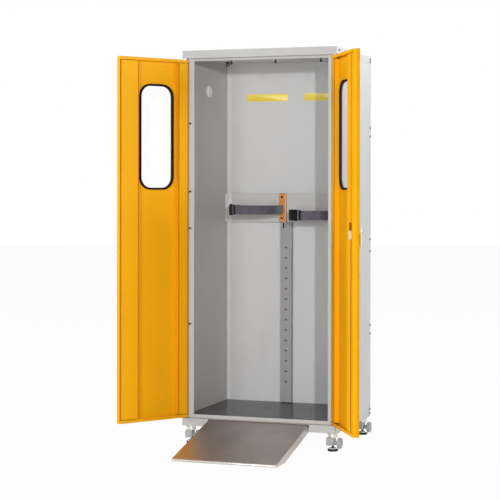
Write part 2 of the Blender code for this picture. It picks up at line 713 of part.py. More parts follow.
def window_gasket(side):
    """Rubber ring with a groove for the door skin outside and one for the glass inside."""
    skin = (-GROOVE_CLEARANCE, DOOR_SHEET + GROOVE_CLEARANCE)
    middle = DOOR_SHEET / 2
    glass = (middle - GLASS_THICK / 2 - GROOVE_CLEARANCE, middle + GLASS_THICK / 2 + GROOVE_CLEARANCE)
    w = GASKET_WIDTH
    web = w - GLASS_GROOVE
    section = [(0, -GASKET_FRONT), (w, -GASKET_FRONT), (w, glass[0]), (web, glass[0]),
               (web, glass[1]), (w, glass[1]), (w, GASKET_BACK), (0, GASKET_BACK),
               (0, skin[1]), (SKIN_GROOVE, skin[1]), (SKIN_GROOVE, skin[0]), (0, skin[0])]
    rings = []
    for inset, y in section:
        points = rounded_rect(WINDOW_U, WINDOW_U + WINDOW_WIDTH, WINDOW_FOOT, WINDOW_HEAD,
                              WINDOW_RADIUS, inset)
        rings.append([(along(side, u), door_depth(y), z) for u, z in points])
    return loft(rings)


def window_glass(side):
    inset = GASKET_WIDTH - GLASS_GROOVE + GROOVE_CLEARANCE
    points = rounded_rect(WINDOW_U, WINDOW_U + WINDOW_WIDTH, WINDOW_FOOT, WINDOW_HEAD,
                          WINDOW_RADIUS, inset)
    middle = DOOR_SHEET / 2
    return prism([(along(side, u), z) for u, z in points], "Y",
                 door_depth(middle - GLASS_THICK / 2), door_depth(middle + GLASS_THICK / 2))


def doors(root):
    """Both doors on their hinge axes; the right one is returned for its lock."""
    for side, word, swing in ((-1, "left", OPEN_LEFT), (1, "right", OPEN_RIGHT)):
        hinge = axis_empty("hinge_" + word, root, (side * AXIS_X, AXIS_Y, 0),
                           (0, 0, side * math.radians(swing)))
        piece("door_pan_" + word, door_pan(side), "door_yellow", hinge)
        piece("door_free_channel_" + word, free_channel(side), "door_yellow", hinge)
        piece("door_hinge_channel_" + word, hinge_channel(side), "door_yellow", hinge)
        piece("window_gasket_" + word, window_gasket(side), "gasket_black", hinge)
        piece("window_glass_" + word, window_glass(side), "clear_glass", hinge)
        upper = turned([(0, -UPPER_WASHER - PIN_REACH), (PIN_RADIUS, -UPPER_WASHER - PIN_REACH),
                        (PIN_RADIUS, -UPPER_WASHER), (PIN_WASHER_RADIUS, -UPPER_WASHER),
                        (PIN_WASHER_RADIUS, 0), (0, 0)], (0, 0, 0), "Z", PIN_STEPS)
        piece("hinge_pin_upper_" + word, upper, "zinc", root,
              (side * AXIS_X, AXIS_Y, FASCIA_FOOT - GAP))
        lower = turned([(0, 0), (PIN_WASHER_RADIUS, 0), (PIN_WASHER_RADIUS, LOWER_WASHER),
                        (PIN_RADIUS, LOWER_WASHER), (PIN_RADIUS, LOWER_WASHER + PIN_REACH),
                        (0, LOWER_WASHER + PIN_REACH)], (0, 0, 0), "Z", PIN_STEPS)
        piece("hinge_pin_lower_" + word, lower, "zinc", root,
              (side * AXIS_X, AXIS_Y, SILL_LEDGE_TOP + GAP))
    return hinge


def bolt(way):
    """Locking rod with its yoke plate, drawn from the yoke's rest height."""
    half_slot = CAM_PIN_RADIUS + YOKE_CLEARANCE
    low = CAM_PIN_THROW * math.cos(CAM_REST)
    near = low - half_slot - YOKE_INNER_RIM
    far = BOLT_OFFSET + BOLT_RADIUS + YOKE_RIM
    tall = half_slot + YOKE_RIM
    plate = box(way * near, way * far, -YOKE_THICK / 2, YOKE_THICK / 2, -tall, tall)
    slot = box(way * (low - half_slot), way * (CAM_PIN_THROW + half_slot),
               -YOKE_THICK, YOKE_THICK, -half_slot, half_slot)
    start = LOCK_Z - way * CAM_PIN_THROW * math.sin(CAM_REST)
    tip = DOOR_HEAD + UPPER_BOLT_PROUD if way > 0 else DOOR_FOOT
    bar = rod(BOLT_RADIUS, *sorted((way * (tall - YOKE_RIM / 2), tip - start)),
              (way * BOLT_OFFSET, 0, 0), "Z")
    return cut(joined(plate, bar), slot), start


def lock(hinge):
    """Handle, cam and two bolts inside the right door's free edge."""
    side = 1
    lock_x = along(side, LOCK_U)
    case = softened(box(-CASE_WIDTH / 2, CASE_WIDTH / 2, -CASE_THICK, 0,
                        CASE_RISE - CASE_HEIGHT / 2, CASE_RISE + CASE_HEIGHT / 2),
                    CASE_BEVEL, lambda e: all(v.co.y < 0 for v in e.verts)
                    or abs(e.verts[0].co.y - e.verts[1].co.y) > CASE_THICK / 2)
    case = joined(case, rod(CASE_LOCK_RADIUS, -CASE_THICK - CASE_LOCK_PROUD, -CASE_THICK / 2,
                            (0, 0, CASE_LOCK_DROP), "Y"))
    case = cut(case, rod(SPINDLE_RADIUS + PIN_CLEARANCE, -OVERRUN, OVERRUN, (0, 0, 0), "Y"))
    skin = door_depth(-GAP)
    piece("lock_case", case, "plastic_black", hinge, (lock_x, skin, LOCK_Z))
    turn = axis_empty("handle_turn", hinge, (lock_x, 0, LOCK_Z))
    grip_back = door_depth(-GAP - CASE_THICK - GAP)
    grip_front = grip_back - HANDLE_PROUD
    hub = turned([(0, grip_front), (HANDLE_HUB_RADIUS - HANDLE_BEVEL, grip_front),
                  (HANDLE_HUB_RADIUS, grip_front + HANDLE_BEVEL), (HANDLE_HUB_RADIUS, grip_back),
                  (SPINDLE_RADIUS, grip_back), (SPINDLE_RADIUS, door_depth(CAM_FRONT + CAM_THICK)),
                  (0, door_depth(CAM_FRONT + CAM_THICK))], (0, 0, 0), "Y", PIN_STEPS)
    blade = [(-HANDLE_WIDTH / 2, 0), (HANDLE_WIDTH / 2, 0),
             (HANDLE_TIP_WIDTH / 2, -HANDLE_LENGTH), (-HANDLE_TIP_WIDTH / 2, -HANDLE_LENGTH)]
    lever = softened(prism(blade, "Y", grip_front, grip_front + HANDLE_THICK), HANDLE_BEVEL)
    piece("handle", joined(hub, lever), "plastic_black", turn)
    cam_front = door_depth(CAM_FRONT)
    cam_back = cam_front + CAM_THICK
    disc = turned([(SPINDLE_RADIUS + PIN_CLEARANCE, cam_front), (CAM_RADIUS, cam_front),
                   (CAM_RADIUS, cam_back), (SPINDLE_RADIUS + PIN_CLEARANCE, cam_back)],
                  (0, 0, 0), "Y", ROUND_STEPS)
    pins = []
    for way in (-1, 1):
        x = -way * CAM_PIN_THROW * math.cos(CAM_REST)
        z = -way * CAM_PIN_THROW * math.sin(CAM_REST)
        pins.append(rod(CAM_PIN_RADIUS, cam_back - CAM_THICK / 2, cam_back + CAM_PIN_LENGTH,
                        (x, 0, z), "Y"))
    piece("lock_cam", joined(disc, *pins), "bracket_brown", turn)
    for way, word in ((1, "upper"), (-1, "lower")):
        mesh, start = bolt(way)
        mesh.transform(Matrix.Scale(-1, 4, Vector((1, 0, 0))))
        mesh.flip_normals()
        slide = axis_empty("bolt_slide_" + word, hinge, (lock_x, door_depth(BOLT_DEPTH), start))
        piece("bolt_" + word, mesh, "zinc", slide)


def strap_run(radius):
    return math.pi * radius + 2 * (LOOP_BEFORE_RAIL + STRAP_TAIL)


def strap_points(centre_x, level, radius):
    """Centre line of one strap loop from its left rail slot round to its right one."""
    points = [(centre_x - radius, RAIL_FRONT + STRAP_TAIL)]
    turns = [0, BUCKLE_START / 2, BUCKLE_START]
    turns += [BUCKLE_END + (180 - BUCKLE_END) * i / LOOP_STEPS for i in range(LOOP_STEPS + 1)]
    for degrees in turns:
        angle = math.radians(180 + degrees)
        points.append((centre_x + radius * math.cos(angle), LOOP_CENTRE_Y + radius * math.sin(angle)))
    points.append((centre_x + radius, RAIL_FRONT + STRAP_TAIL))
    lengths = [0]
    for a, b in zip(points, points[1:]):
        lengths.append(lengths[-1] + math.dist(a, b))
    return [(x, y, level - STRAP_DROOP * run / lengths[-1]) for (x, y), run in zip(points, lengths)]


def strap(centre_x, level, radius):
    """Webbing standing on edge along the loop."""
    line = strap_points(centre_x, level, radius)
    rows = []
    for i, (x, y, z) in enumerate(line):
        before = line[max(i - 1, 0)]
        after = line[min(i + 1, len(line) - 1)]
        way = Vector((after[0] - before[0], after[1] - before[1])).normalized()
        out = Vector((way.y, -way.x)) * STRAP_THICK / 2
        h = STRAP_HEIGHT / 2
        rows.append([(x - out.x, y - out.y, z - h), (x + out.x, y + out.y, z - h),
                     (x + out.x, y + out.y, z + h), (x - out.x, y - out.y, z + h)])
    verts = [p for row in rows for p in row]
    faces = [(0, 1, 2, 3), tuple(range(len(verts) - 4, len(verts)))]
    for r in range(len(rows) - 1):
        for i in range(4):
            j = (i + 1) % 4
            faces.append((4 * r + i, 4 * r + j, 4 * r + 4 + j, 4 * r + 4 + i))
    return mesh_of(verts, faces)


def buckle(length, height, thick, inside):
    """Block with a slot that the webbing runs through, along its own Y."""
    block = softened(box(-inside, thick - inside, -length / 2, length / 2, -height / 2, height / 2),
                     BUCKLE_BEVEL)
    half = STRAP_THICK / 2 + WEB_CLEARANCE
    tall = STRAP_HEIGHT / 2 + WEB_SIDE_CLEARANCE / 2
    return cut(block, box(-half, half, -length, length, -tall, tall))


def rail_and_straps(root):
    free = INNER - GAP
    rear = BACK_FACE - GAP
    profile = [(rear, RAIL_FOOT), (rear, RAIL_FOOT + STRAP_RAIL_SHEET),
               (RAIL_FRONT + STRAP_RAIL_SHEET, RAIL_FOOT + STRAP_RAIL_SHEET),
               (RAIL_FRONT + STRAP_RAIL_SHEET, RAIL_HEAD - STRAP_RAIL_SHEET),
               (rear, RAIL_HEAD - STRAP_RAIL_SHEET), (rear, RAIL_HEAD), (RAIL_FRONT, RAIL_HEAD),
               (RAIL_FRONT, RAIL_FOOT)]
    rail = prism(profile, "X", -free, free)
    left = BAY_LEFT_X - HALF
    right = BAY_RIGHT_X - HALF
    loops = ((left, STRAP_LEFT_Z, LOOP_LEFT_RADIUS, "left"),
             (right, STRAP_RIGHT_Z, LOOP_RIGHT_RADIUS, "right"))
    places = []
    for centre, level, radius, _ in loops:
        places += [(centre - radius, level), (centre + radius, level - STRAP_DROOP)]
    half = STRAP_THICK / 2 + WEB_CLEARANCE
    slots = [box(x - half, x + half, RAIL_FRONT - OVERRUN, RAIL_FRONT + OVERRUN / 2,
                 z - STRAP_SLOT_HEIGHT / 2, z + STRAP_SLOT_HEIGHT / 2) for x, z in places]
    piece("cylinder_rail", cut(rail, *slots), "panel_grey", root)
    middle = math.radians((BUCKLE_START + BUCKLE_END) / 2)
    for centre, level, radius, word in loops:
        piece("strap_" + word, strap(centre, level, radius), "webbing_grey", root)
        chord = radius * math.cos(math.radians(BUCKLE_END - BUCKLE_START) / 2)
        run = LOOP_BEFORE_RAIL + STRAP_TAIL + middle * radius
        sunk = STRAP_DROOP * run / strap_run(radius)
        at = (centre - chord * math.cos(middle), LOOP_CENTRE_Y - chord * math.sin(middle), level - sunk)
        made = buckle(BUCKLE_LENGTH, BUCKLE_HEIGHT, BUCKLE_THICK, BUCKLE_INSIDE)
        piece("buckle_" + word, made, "plastic_black", root, at, (0, 0, math.pi + middle))
    sleeve = buckle(SLEEVE_LENGTH, BUCKLE_HEIGHT, SLEEVE_THICK, SLEEVE_THICK / 2)
    left_to_run = SLEEVE_BACK + STRAP_TAIL
    piece("strap_end_right", sleeve, "plastic_black", root,
          (right + LOOP_RIGHT_RADIUS, RAIL_FRONT - SLEEVE_BACK,
           STRAP_RIGHT_Z - STRAP_DROOP * (1 - left_to_run / strap_run(LOOP_RIGHT_RADIUS))))
    x = left + LOOP_LEFT_RADIUS
    front = RAIL_FRONT - GAP
    z = STRAP_LEFT_Z - STRAP_DROOP
    plate = box(x - BRACKET_WIDTH / 2, x + BRACKET_WIDTH / 2, front - BRACKET_DEPTH, front,
                RAIL_FOOT, RAIL_HEAD)
    inner = BRACKET_WIDTH / 2 - BRACKET_SHEET
    hollow = box(x - inner, x + inner, front - BRACKET_DEPTH + BRACKET_SHEET, front + OVERRUN,
                 RAIL_FOOT - OVERRUN, RAIL_HEAD + OVERRUN)
    mouth = box(x - half, x + half, front - OVERRUN, front, z - STRAP_SLOT_HEIGHT / 2,
                z + STRAP_SLOT_HEIGHT / 2)
    piece("strap_bracket", cut(plate, hollow, mouth), "bracket_brown", root)
    ux = UPRIGHT_X - HALF
    face = BACK_FACE - UPRIGHT_DEPTH
    top = RAIL_FOOT - GAP
    edge = UPRIGHT_WIDTH / 2
    body = box(ux - edge, ux + edge, face, rear, FLOOR_TOP + UPRIGHT_FOOT_GAP, top)
    groove = box(ux - edge + UPRIGHT_SHEET, ux + edge - UPRIGHT_SHEET, face + UPRIGHT_SHEET,
                 rear + OVERRUN, FLOOR_TOP - OVERRUN, top + OVERRUN)
    holes = []
    for i in range(SLOT_COUNT):
        at_z = SLOT_FIRST + i * SLOT_PITCH
        holes.append(box(ux - SLOT_WIDTH / 2, ux + SLOT_WIDTH / 2, face - OVERRUN, face + OVERRUN / 2,
                         at_z - SLOT_HEIGHT / 2, at_z + SLOT_HEIGHT / 2))
    piece("upright", cut(body, groove, *holes), "inner_grey", root)


def pipe_plug(root):
    """Snap-in plug with a rim outside and a dished head inside."""
    hole = PIPE_HOLE_RADIUS - GAP
    rim = PLUG_RIM_RADIUS
    inside = WALL + GAP
    face = inside + PLUG_HEAD
    profile = [(0, -PLUG_RIM - GAP), (rim - PLUG_RIM, -PLUG_RIM - GAP), (rim, -GAP), (hole, -GAP),
               (hole, inside), (rim, inside), (rim, face - PLUG_HEAD_BEVEL),
               (rim - PLUG_HEAD_BEVEL, face), (PLUG_DISH_RADIUS, face),
               (PLUG_DISH_RADIUS - PLUG_DISH, face - PLUG_DISH), (0, face - PLUG_DISH)]
    piece("pipe_plug", turned(profile, (0, 0, 0), "X"), "castor_grey", root,
          (-HALF, PIPE_Y, PIPE_Z))


def castor(root, word, sx, sy):
    """One levelling castor: fixed plate, swivelling body, wheel and levelling foot."""
    y = CASTOR_FRONT_IN if sy < 0 else DEPTH - CASTOR_REAR_IN
    x = sx * (HALF - CASTOR_IN_X)
    top = LEG_HEIGHT - GAP
    flat = softened(box(-PLATE_SIDE / 2, PLATE_SIDE / 2, -PLATE_SIDE / 2, PLATE_SIDE / 2,
                        top - PLATE_THICK, top), PLATE_BEVEL,
                    lambda e: abs(e.verts[0].co.z - e.verts[1].co.z) > PLATE_THICK / 2)
    column = rod(BEARING_RADIUS, BEARING_FOOT, top - PLATE_THICK / 2, (0, 0, 0), "Z", ROUND_STEPS)
    bore = rod(KING_RADIUS + KING_CLEARANCE, BEARING_FOOT - OVERRUN,
               BEARING_FOOT + KING_HEIGHT + GAP, (0, 0, 0), "Z")
    piece("castor_plate_" + word, cut(joined(flat, column), bore), "zinc", root, (x, y, 0))
    swivel = axis_empty("swivel_" + word, root, (x, y, 0))
    head = BEARING_FOOT - GAP
    block = softened(box(BODY_OUT - BODY_WIDTH, BODY_OUT, -BODY_LENGTH / 2, BODY_LENGTH / 2,
                         BODY_FOOT, head), BODY_BEVEL,
                     lambda e: abs(e.verts[0].co.z - e.verts[1].co.z) > BODY_BEVEL
                     or all(v.co.z > BODY_FOOT + BODY_BEVEL for v in e.verts))
    king = rod(KING_RADIUS, head - BODY_BEVEL / 2, head + KING_HEIGHT, (0, 0, 0), "Z")
    wheel_in = BODY_OUT + WHEEL_SIDE_GAP
    wheel_out = wheel_in + WHEEL_WIDTH
    axle = turned([(0, BODY_OUT / 2), (AXLE_RADIUS, BODY_OUT / 2),
                   (AXLE_RADIUS, wheel_out + GAP), (AXLE_HEAD, wheel_out + GAP),
                   (AXLE_HEAD, wheel_out + GAP + AXLE_HEAD_THICK),
                   (0, wheel_out + GAP + AXLE_HEAD_THICK)], (0, 0, WHEEL_AXLE_Z), "X", PIN_STEPS)
    collar = rod(AXLE_HEAD, BODY_OUT - COLLAR_SINK, wheel_in - GAP, (0, 0, WHEEL_AXLE_Z), "X")
    socket = rod(STEM_RADIUS + STEM_CLEARANCE, -OVERRUN, STEM_TOP + STEM_HEADROOM, (0, 0, 0), "Z")
    piece("castor_body_" + word, cut(joined(block, king, axle, collar), socket), "castor_grey", swivel)
    spin = axis_empty("spin_" + word, swivel, (wheel_in, 0, WHEEL_AXLE_Z))
    r = WHEEL_RADIUS
    b = WHEEL_BEVEL
    tyre = turned([(AXLE_RADIUS + AXLE_CLEARANCE, 0), (r - b, 0), (r, b), (r, WHEEL_WIDTH - b),
                   (r - b, WHEEL_WIDTH), (AXLE_RADIUS + AXLE_CLEARANCE, WHEEL_WIDTH)],
                  (0, 0, 0), "X", ROUND_STEPS)
    piece("castor_wheel_" + word, tyre, "castor_grey", spin)
    foot = axis_empty("foot_" + word, swivel, (0, 0, 0))
    pad = turned([(0, 0), (PAD_RADIUS - PAD_BEVEL, 0), (PAD_RADIUS, PAD_BEVEL),
                  (PAD_RADIUS, PAD_HEIGHT - PAD_NECK_HEIGHT - PAD_BEVEL),
                  (PAD_RADIUS - PAD_BEVEL, PAD_HEIGHT - PAD_NECK_HEIGHT),
                  (PAD_NECK_RADIUS, PAD_HEIGHT - PAD_NECK_HEIGHT), (PAD_NECK_RADIUS, PAD_HEIGHT),
                  (STEM_RADIUS, PAD_HEIGHT), (STEM_RADIUS, STEM_TOP), (0, STEM_TOP)],
                 (0, 0, 0), "Z", ROUND_STEPS)
    piece("castor_foot_" + word, pad, "rubber_black", foot)


def build():
    for old in list(bpy.data.objects):
        bpy.data.objects.remove(old, do_unlink=True)
    root = axis_empty("cabinet", None, (0, FRONT_Y, 0))
    carcass(root)
    ramp_parts(root)
    lock(doors(root))
    rail_and_straps(root)
    pipe_plug(root)
    for word, sx, sy in (("front_left", -1, -1), ("front_right", 1, -1),
                         ("rear_left", -1, 1), ("rear_right", 1, 1)):
        castor(root, word, sx, sy)


build()
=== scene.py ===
import json
from math import copysign, cos, dist, pi, radians, sin

import bmesh
import bpy
from mathutils import Matrix, Vector


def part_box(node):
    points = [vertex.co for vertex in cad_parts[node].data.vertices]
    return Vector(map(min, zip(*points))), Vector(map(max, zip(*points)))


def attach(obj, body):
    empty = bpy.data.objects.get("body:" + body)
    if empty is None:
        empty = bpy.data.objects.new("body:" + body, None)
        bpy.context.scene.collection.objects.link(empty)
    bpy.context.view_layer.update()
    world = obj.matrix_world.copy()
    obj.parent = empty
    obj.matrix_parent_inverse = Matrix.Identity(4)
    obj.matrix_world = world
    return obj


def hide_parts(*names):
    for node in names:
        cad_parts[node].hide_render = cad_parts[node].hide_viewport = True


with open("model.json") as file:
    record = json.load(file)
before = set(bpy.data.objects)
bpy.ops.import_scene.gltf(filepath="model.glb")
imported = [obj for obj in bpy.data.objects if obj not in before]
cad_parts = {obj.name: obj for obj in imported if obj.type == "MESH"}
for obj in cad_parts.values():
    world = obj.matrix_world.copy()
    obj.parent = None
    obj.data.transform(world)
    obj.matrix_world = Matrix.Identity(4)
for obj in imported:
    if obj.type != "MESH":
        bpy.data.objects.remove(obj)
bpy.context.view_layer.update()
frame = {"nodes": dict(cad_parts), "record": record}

# Camera, from the cabinet's edges in the photograph
EYE = (2.2599, -6.4338, 1.1521)
YAW = 0.3300
PITCH = -0.0050
ROLL = 0.0015
FOCAL_PIXELS = 1500.1
AXIS_PIXEL = (275.0, 200.0)
PICTURE_PIXELS = 500
SENSOR = 36.0

# Lights: name, direction towards the lamp in degrees, distance, size and brightness
AIM = (0.0, 0.1, 0.95)
LAMPS = (
    ("key", 25.3, 8.6, 7.0, 0.15, 0.31),
    ("right_fill", 82.0, 10.0, 6.0, 1.6, 0.40),
    ("left_fill", -76.0, 12.0, 6.0, 1.4, 0.66),
    ("front_fill", 0.0, 3.0, 6.5, 2.5, 0.31),
    ("rear_fill", 160.0, 24.0, 6.5, 2.5, 0.45),
)
WORLD_FILL = 0.18

# Webbing of the straps: height, thickness here and in the solids, and the weave's repeats
WEB_HEIGHT = 0.043
WEB_THICK = 0.0019
CAD_WEB_THICK = 0.0025
HERRINGBONE = 0.0108
WEFT_PITCH = 0.0017
WARP_PITCH = 0.0009

WHITE = (1.0, 1.0, 1.0)


def placed(name, data):
    """A new object with this data, linked into the scene."""
    thing = bpy.data.objects.new(name, data)
    bpy.context.scene.collection.objects.link(thing)
    return thing


def sum_of(operation, swapped=False):
    """A method for a field that puts it and numbers or fields through a Math node."""
    def method(self, *others):
        terms = (*others, self) if swapped else (self, *others)
        values = dict(enumerate(terms))
        return self.graph.node("ShaderNodeMath", {"operation": operation}, values)
    return method


class Field:
    """A value that varies over a surface, held as a node socket, for use in sums."""

    __add__, __radd__ = sum_of("ADD"), sum_of("ADD", True)
    __sub__, __rsub__ = sum_of("SUBTRACT"), sum_of("SUBTRACT", True)
    __mul__, __rmul__ = sum_of("MULTIPLY"), sum_of("MULTIPLY", True)
    __abs__, sine, most = sum_of("ABSOLUTE"), sum_of("SINE"), sum_of("MAXIMUM")

    def __init__(self, graph, socket):
        self.graph = graph
        self.socket = socket

    def other(self, out):
        """Another output of the node that this value comes from."""
        return Field(self.graph, self.socket.node.outputs[out])

    def ease(self, low, high, out_low=0.0, out_high=1.0):
        """Runs smoothly from one value to another as this field goes from low to high."""
        return self.graph.node("ShaderNodeMapRange", {"interpolation_type": "SMOOTHSTEP"},
                               {0: self, 1: low, 2: high, 3: out_low, 4: out_high})


class Graph:
    """A tree of nodes that is built up from calls."""

    def __init__(self, tree):
        self.tree = tree
        self.tree.nodes.clear()

    def node(self, kind, settings=None, values=None, out=0):
        """Adds a node: its settings first, then its sockets' values or links."""
        made = self.tree.nodes.new(kind)
        for key, value in (settings or {}).items():
            setattr(made, key, value)
        for key, value in (values or {}).items():
            socket = made.inputs[key]
            if isinstance(value, Field):
                self.tree.links.new(value.socket, socket)
            elif socket.type == "RGBA":
                socket.default_value = (*value, 1.0)
            else:
                socket.default_value = value
        return Field(self, made.outputs[out])

    def end(self, kind, made):
        """Ends the tree: links this value to the first input of an output node."""
        self.tree.links.new(made.socket, self.tree.nodes.new(kind).inputs[0])

    def seen_white(self):
        """1 on rays that the camera, gloss or glass sends out, and 0 on all others."""
        seen = self.node("ShaderNodeLightPath", out="Is Camera Ray")
        for kind in ("Is Glossy Ray", "Is Transmission Ray"):
            seen = seen.most(self.node("ShaderNodeLightPath", out=kind))
        return seen


class Finish(Graph):
    """A surface finish in the making: one material with its shader and output."""

    def __init__(self, name):
        self.material = bpy.data.materials.new(name)
        self.material.use_nodes = True
        super().__init__(self.material.node_tree)

    def place(self, stretch=None):
        """The place on the piece in metres, stretched for a grain."""
        raw = self.node("ShaderNodeTexCoord", out="Object")
        if stretch is None:
            return raw
        return self.node("ShaderNodeMapping", {"vector_type": "POINT"},
                         {"Vector": raw, "Scale": stretch})

    def cloud(self, place, scale, detail=2.0, rough=0.5, warp=0.0):
        """Smooth random mottle from 0 to 1."""
        return self.node("ShaderNodeTexNoise", {"noise_dimensions": "3D"},
                         {"Vector": place, "Scale": scale, "Detail": detail,
                          "Roughness": rough, "Distortion": warp}, out="Fac")

    def blend(self, share, low, high):
        """One colour going over into another."""
        return self.node("ShaderNodeMix", {"data_type": "RGBA", "clamp_factor": True},
                         {0: share, 6: low, 7: high}, out=2)

    def edges(self, radius):
        """The normal rounded over at sharp edges, and how near an edge the place is."""
        soft = self.node("ShaderNodeBevel", {"samples": 6}, {"Radius": radius})
        flat = self.node("ShaderNodeNewGeometry", out="Normal")
        same = self.node("ShaderNodeVectorMath", {"operation": "DOT_PRODUCT"},
                         {0: soft, 1: flat}, out="Value")
        return soft, (1.0 - same).ease(0.004, 0.12)

    def relief(self, height, depth, over=None):
        """A bump of that depth in metres, over a normal if one is given."""
        values = {"Height": height, "Distance": depth, "Strength": 1.0}
        if over is not None:
            values["Normal"] = over
        return self.node("ShaderNodeBump", None, values)

    def done(self, **values):
        """Ends in a Principled shader with these sockets, spaces written as underlines."""
        named = {key.replace("_", " "): value for key, value in values.items()}
        shader = self.node("ShaderNodeBsdfPrincipled", None, named, out="BSDF")
        self.end("ShaderNodeOutputMaterial", shader)
        return self.material


class Pattern(Graph):
    """A repeated shape set on points: a Geometry Nodes tree with named sizes."""

    def __init__(self, name, sizes):
        super().__init__(bpy.data.node_groups.new(name, "GeometryNodeTree"))
        face = self.tree.interface
        self.keys = {}
        for label, kind in (("Points", "Geometry"), *((size, "Float") for size in sizes),
                            ("Finish", "Material")):
            made = face.new_socket(label, in_out="INPUT", socket_type="NodeSocket" + kind)
            self.keys[label] = made.identifier
        face.new_socket("Geometry", in_out="OUTPUT", socket_type="NodeSocketGeometry")
        self.entry = self.node("NodeGroupInput")

    def size(self, label):
        """One of the pattern's own inputs."""
        return self.entry.other(label)

    def way(self, label):
        """A way that each point carries."""
        return self.node("GeometryNodeInputNamedAttribute", {"data_type": "FLOAT_VECTOR"},
                         {"Name": label}, out="Attribute")

    def close(self, shape):
        """Turns the shape to each point's ways, makes it real and gives it its finish."""
        align = "FunctionNodeAlignRotationToVector"
        stood = self.node(align, {"axis": "Z"}, {"Vector": self.way("facing")})
        laid = self.node(align, {"axis": "X", "pivot_axis": "Z"},
                         {"Rotation": stood, "Vector": self.way("along")})
        many = self.node("GeometryNodeInstanceOnPoints", None,
                         {"Points": self.entry, "Instance": shape, "Rotation": laid})
        real = self.node("GeometryNodeRealizeInstances", None, {"Geometry": many})
        done = self.node("GeometryNodeSetMaterial", None,
                         {"Geometry": real, "Material": self.size("Finish")})
        self.end("NodeGroupOutput", done)

    def grow(self, name, spots, sizes, finish):
        """Runs the pattern over (place, facing, along) spots and returns a plain mesh."""
        mesh = bpy.data.meshes.new(name + "_spots")
        mesh.from_pydata([spot[0] for spot in spots], [], [])
        for column, label in ((1, "facing"), (2, "along")):
            ways = mesh.attributes.new(label, "FLOAT_VECTOR", "POINT")
            ways.data.foreach_set("vector", [c for spot in spots for c in spot[column]])
        holder = placed(name + "_spots", mesh)
        modifier = holder.modifiers.new("pattern", "NODES")
        modifier.node_group = self.tree
        for label, value in sizes.items():
            modifier[self.keys[label]] = float(value)
        modifier[self.keys["Finish"]] = finish
        graph = bpy.context.evaluated_depsgraph_get()
        grown = bpy.data.meshes.new_from_object(holder.evaluated_get(graph), depsgraph=graph)
        bpy.data.objects.remove(holder)
        bpy.data.meshes.remove(mesh)
        return grown


def scaled(colour, by):
    """A colour made lighter or darker."""
    return tuple(min(1.0, c * by) for c in colour)


def powder_coat(name, colour, gloss, edge=0.0012, dust=0.12, shine=0.5, painted_edge_tone=1.18,
                lacquer=0.0):
    """Sprayed and baked paint on sheet steel: orange peel, faint mottle, worn corners, and edges
    lightened as painted highlight, darkened instead as painted shade in folds when the edge tone
    is under 1.
    """
    coat = Finish(name)
    place = coat.place()
    mottle = coat.cloud(place, 2.3, 4.0, 0.6)
    peel = coat.cloud(place, 620.0, 1.0, 0.4)
    grain = coat.cloud(place, 2100.0, 1.0, 0.5)
    smear = coat.cloud(coat.place((3.0, 3.0, 0.6)), 4.0, 5.0, 0.62, 0.6)
    wear = coat.cloud(place, 55.0, 3.0, 0.6)
    soft, near = coat.edges(edge)
    worn = near * wear.ease(0.45, 0.62)
    body = coat.blend(mottle.ease(0.3, 0.7), scaled(colour, 0.965), scaled(colour, 1.03))
    body = coat.blend(smear.ease(0.55, 0.8) * dust, body, (0.42, 0.40, 0.37))
    # Painted light at the edges: an edge tone over 1 paints a highlight on them, one under 1
    # paints shade into folds and creases
    body = coat.blend(near * abs(painted_edge_tone - 1.0) * 1.6, body, scaled(colour, painted_edge_tone))
    body = coat.blend(worn * 0.35, body, scaled(colour, 0.62))
    rough = gloss + (mottle - 0.5) * 0.06 + smear.ease(0.5, 0.8) * 0.07 + (peel - 0.5) * 0.05
    bump = coat.relief(peel * 0.7 + grain * 0.3, 0.00003, soft)
    return coat.done(Base_Color=body, Roughness=rough, Normal=bump, Specular_IOR_Level=shine,
                     Coat_Weight=lacquer, Coat_Roughness=0.3)


def rubber(name, colour, gloss=0.62):
    """Extruded or moulded rubber with a fine bloom."""
    skin = Finish(name)
    place = skin.place()
    bloom = skin.cloud(place, 38.0, 4.0, 0.62)
    pores = skin.cloud(place, 1900.0, 2.0, 0.5)
    soft, near = skin.edges(0.0008)
    body = skin.blend(bloom.ease(0.4, 0.75) * 0.4, colour, (0.026, 0.024, 0.022))
    # Painted highlight: the rubber lighter along its edges
    body = skin.blend(near * 0.2, body, (0.040, 0.037, 0.034))
    bump = skin.relief(pores, 0.00004, soft)
    rough = gloss + (bloom - 0.5) * 0.14
    return skin.done(Base_Color=body, Roughness=rough, Normal=bump, Specular_IOR_Level=0.03)


def moulded(name, colour, gloss, grain=0.00004, shine=0.5):
    """Moulded plastic with a sparked tool texture and rubbed edges, which are smoother and
    painted lighter as highlight.
    """
    shell = Finish(name)
    place = shell.place()
    spark = shell.cloud(place, 1300.0, 2.0, 0.6)
    flow = shell.cloud(shell.place((1.0, 1.0, 5.0)), 16.0, 3.0, 0.55, 0.8)
    soft, near = shell.edges(0.0007)
    body = shell.blend(flow.ease(0.35, 0.7), scaled(colour, 0.93), scaled(colour, 1.05))
    # Rubbed edges: smoother for real, and lighter in colour as painted highlight
    lighter = tuple(min(1.0, c * 1.25 + 0.006) for c in colour)
    body = shell.blend(near * 0.4, body, lighter)
    bump = shell.relief(spark, grain, soft)
    rough = gloss + (flow - 0.5) * 0.10 + (spark - 0.5) * 0.06 - near * 0.08
    return shell.done(Base_Color=body, Roughness=rough, Normal=bump,
                      Specular_IOR_Level=shine)


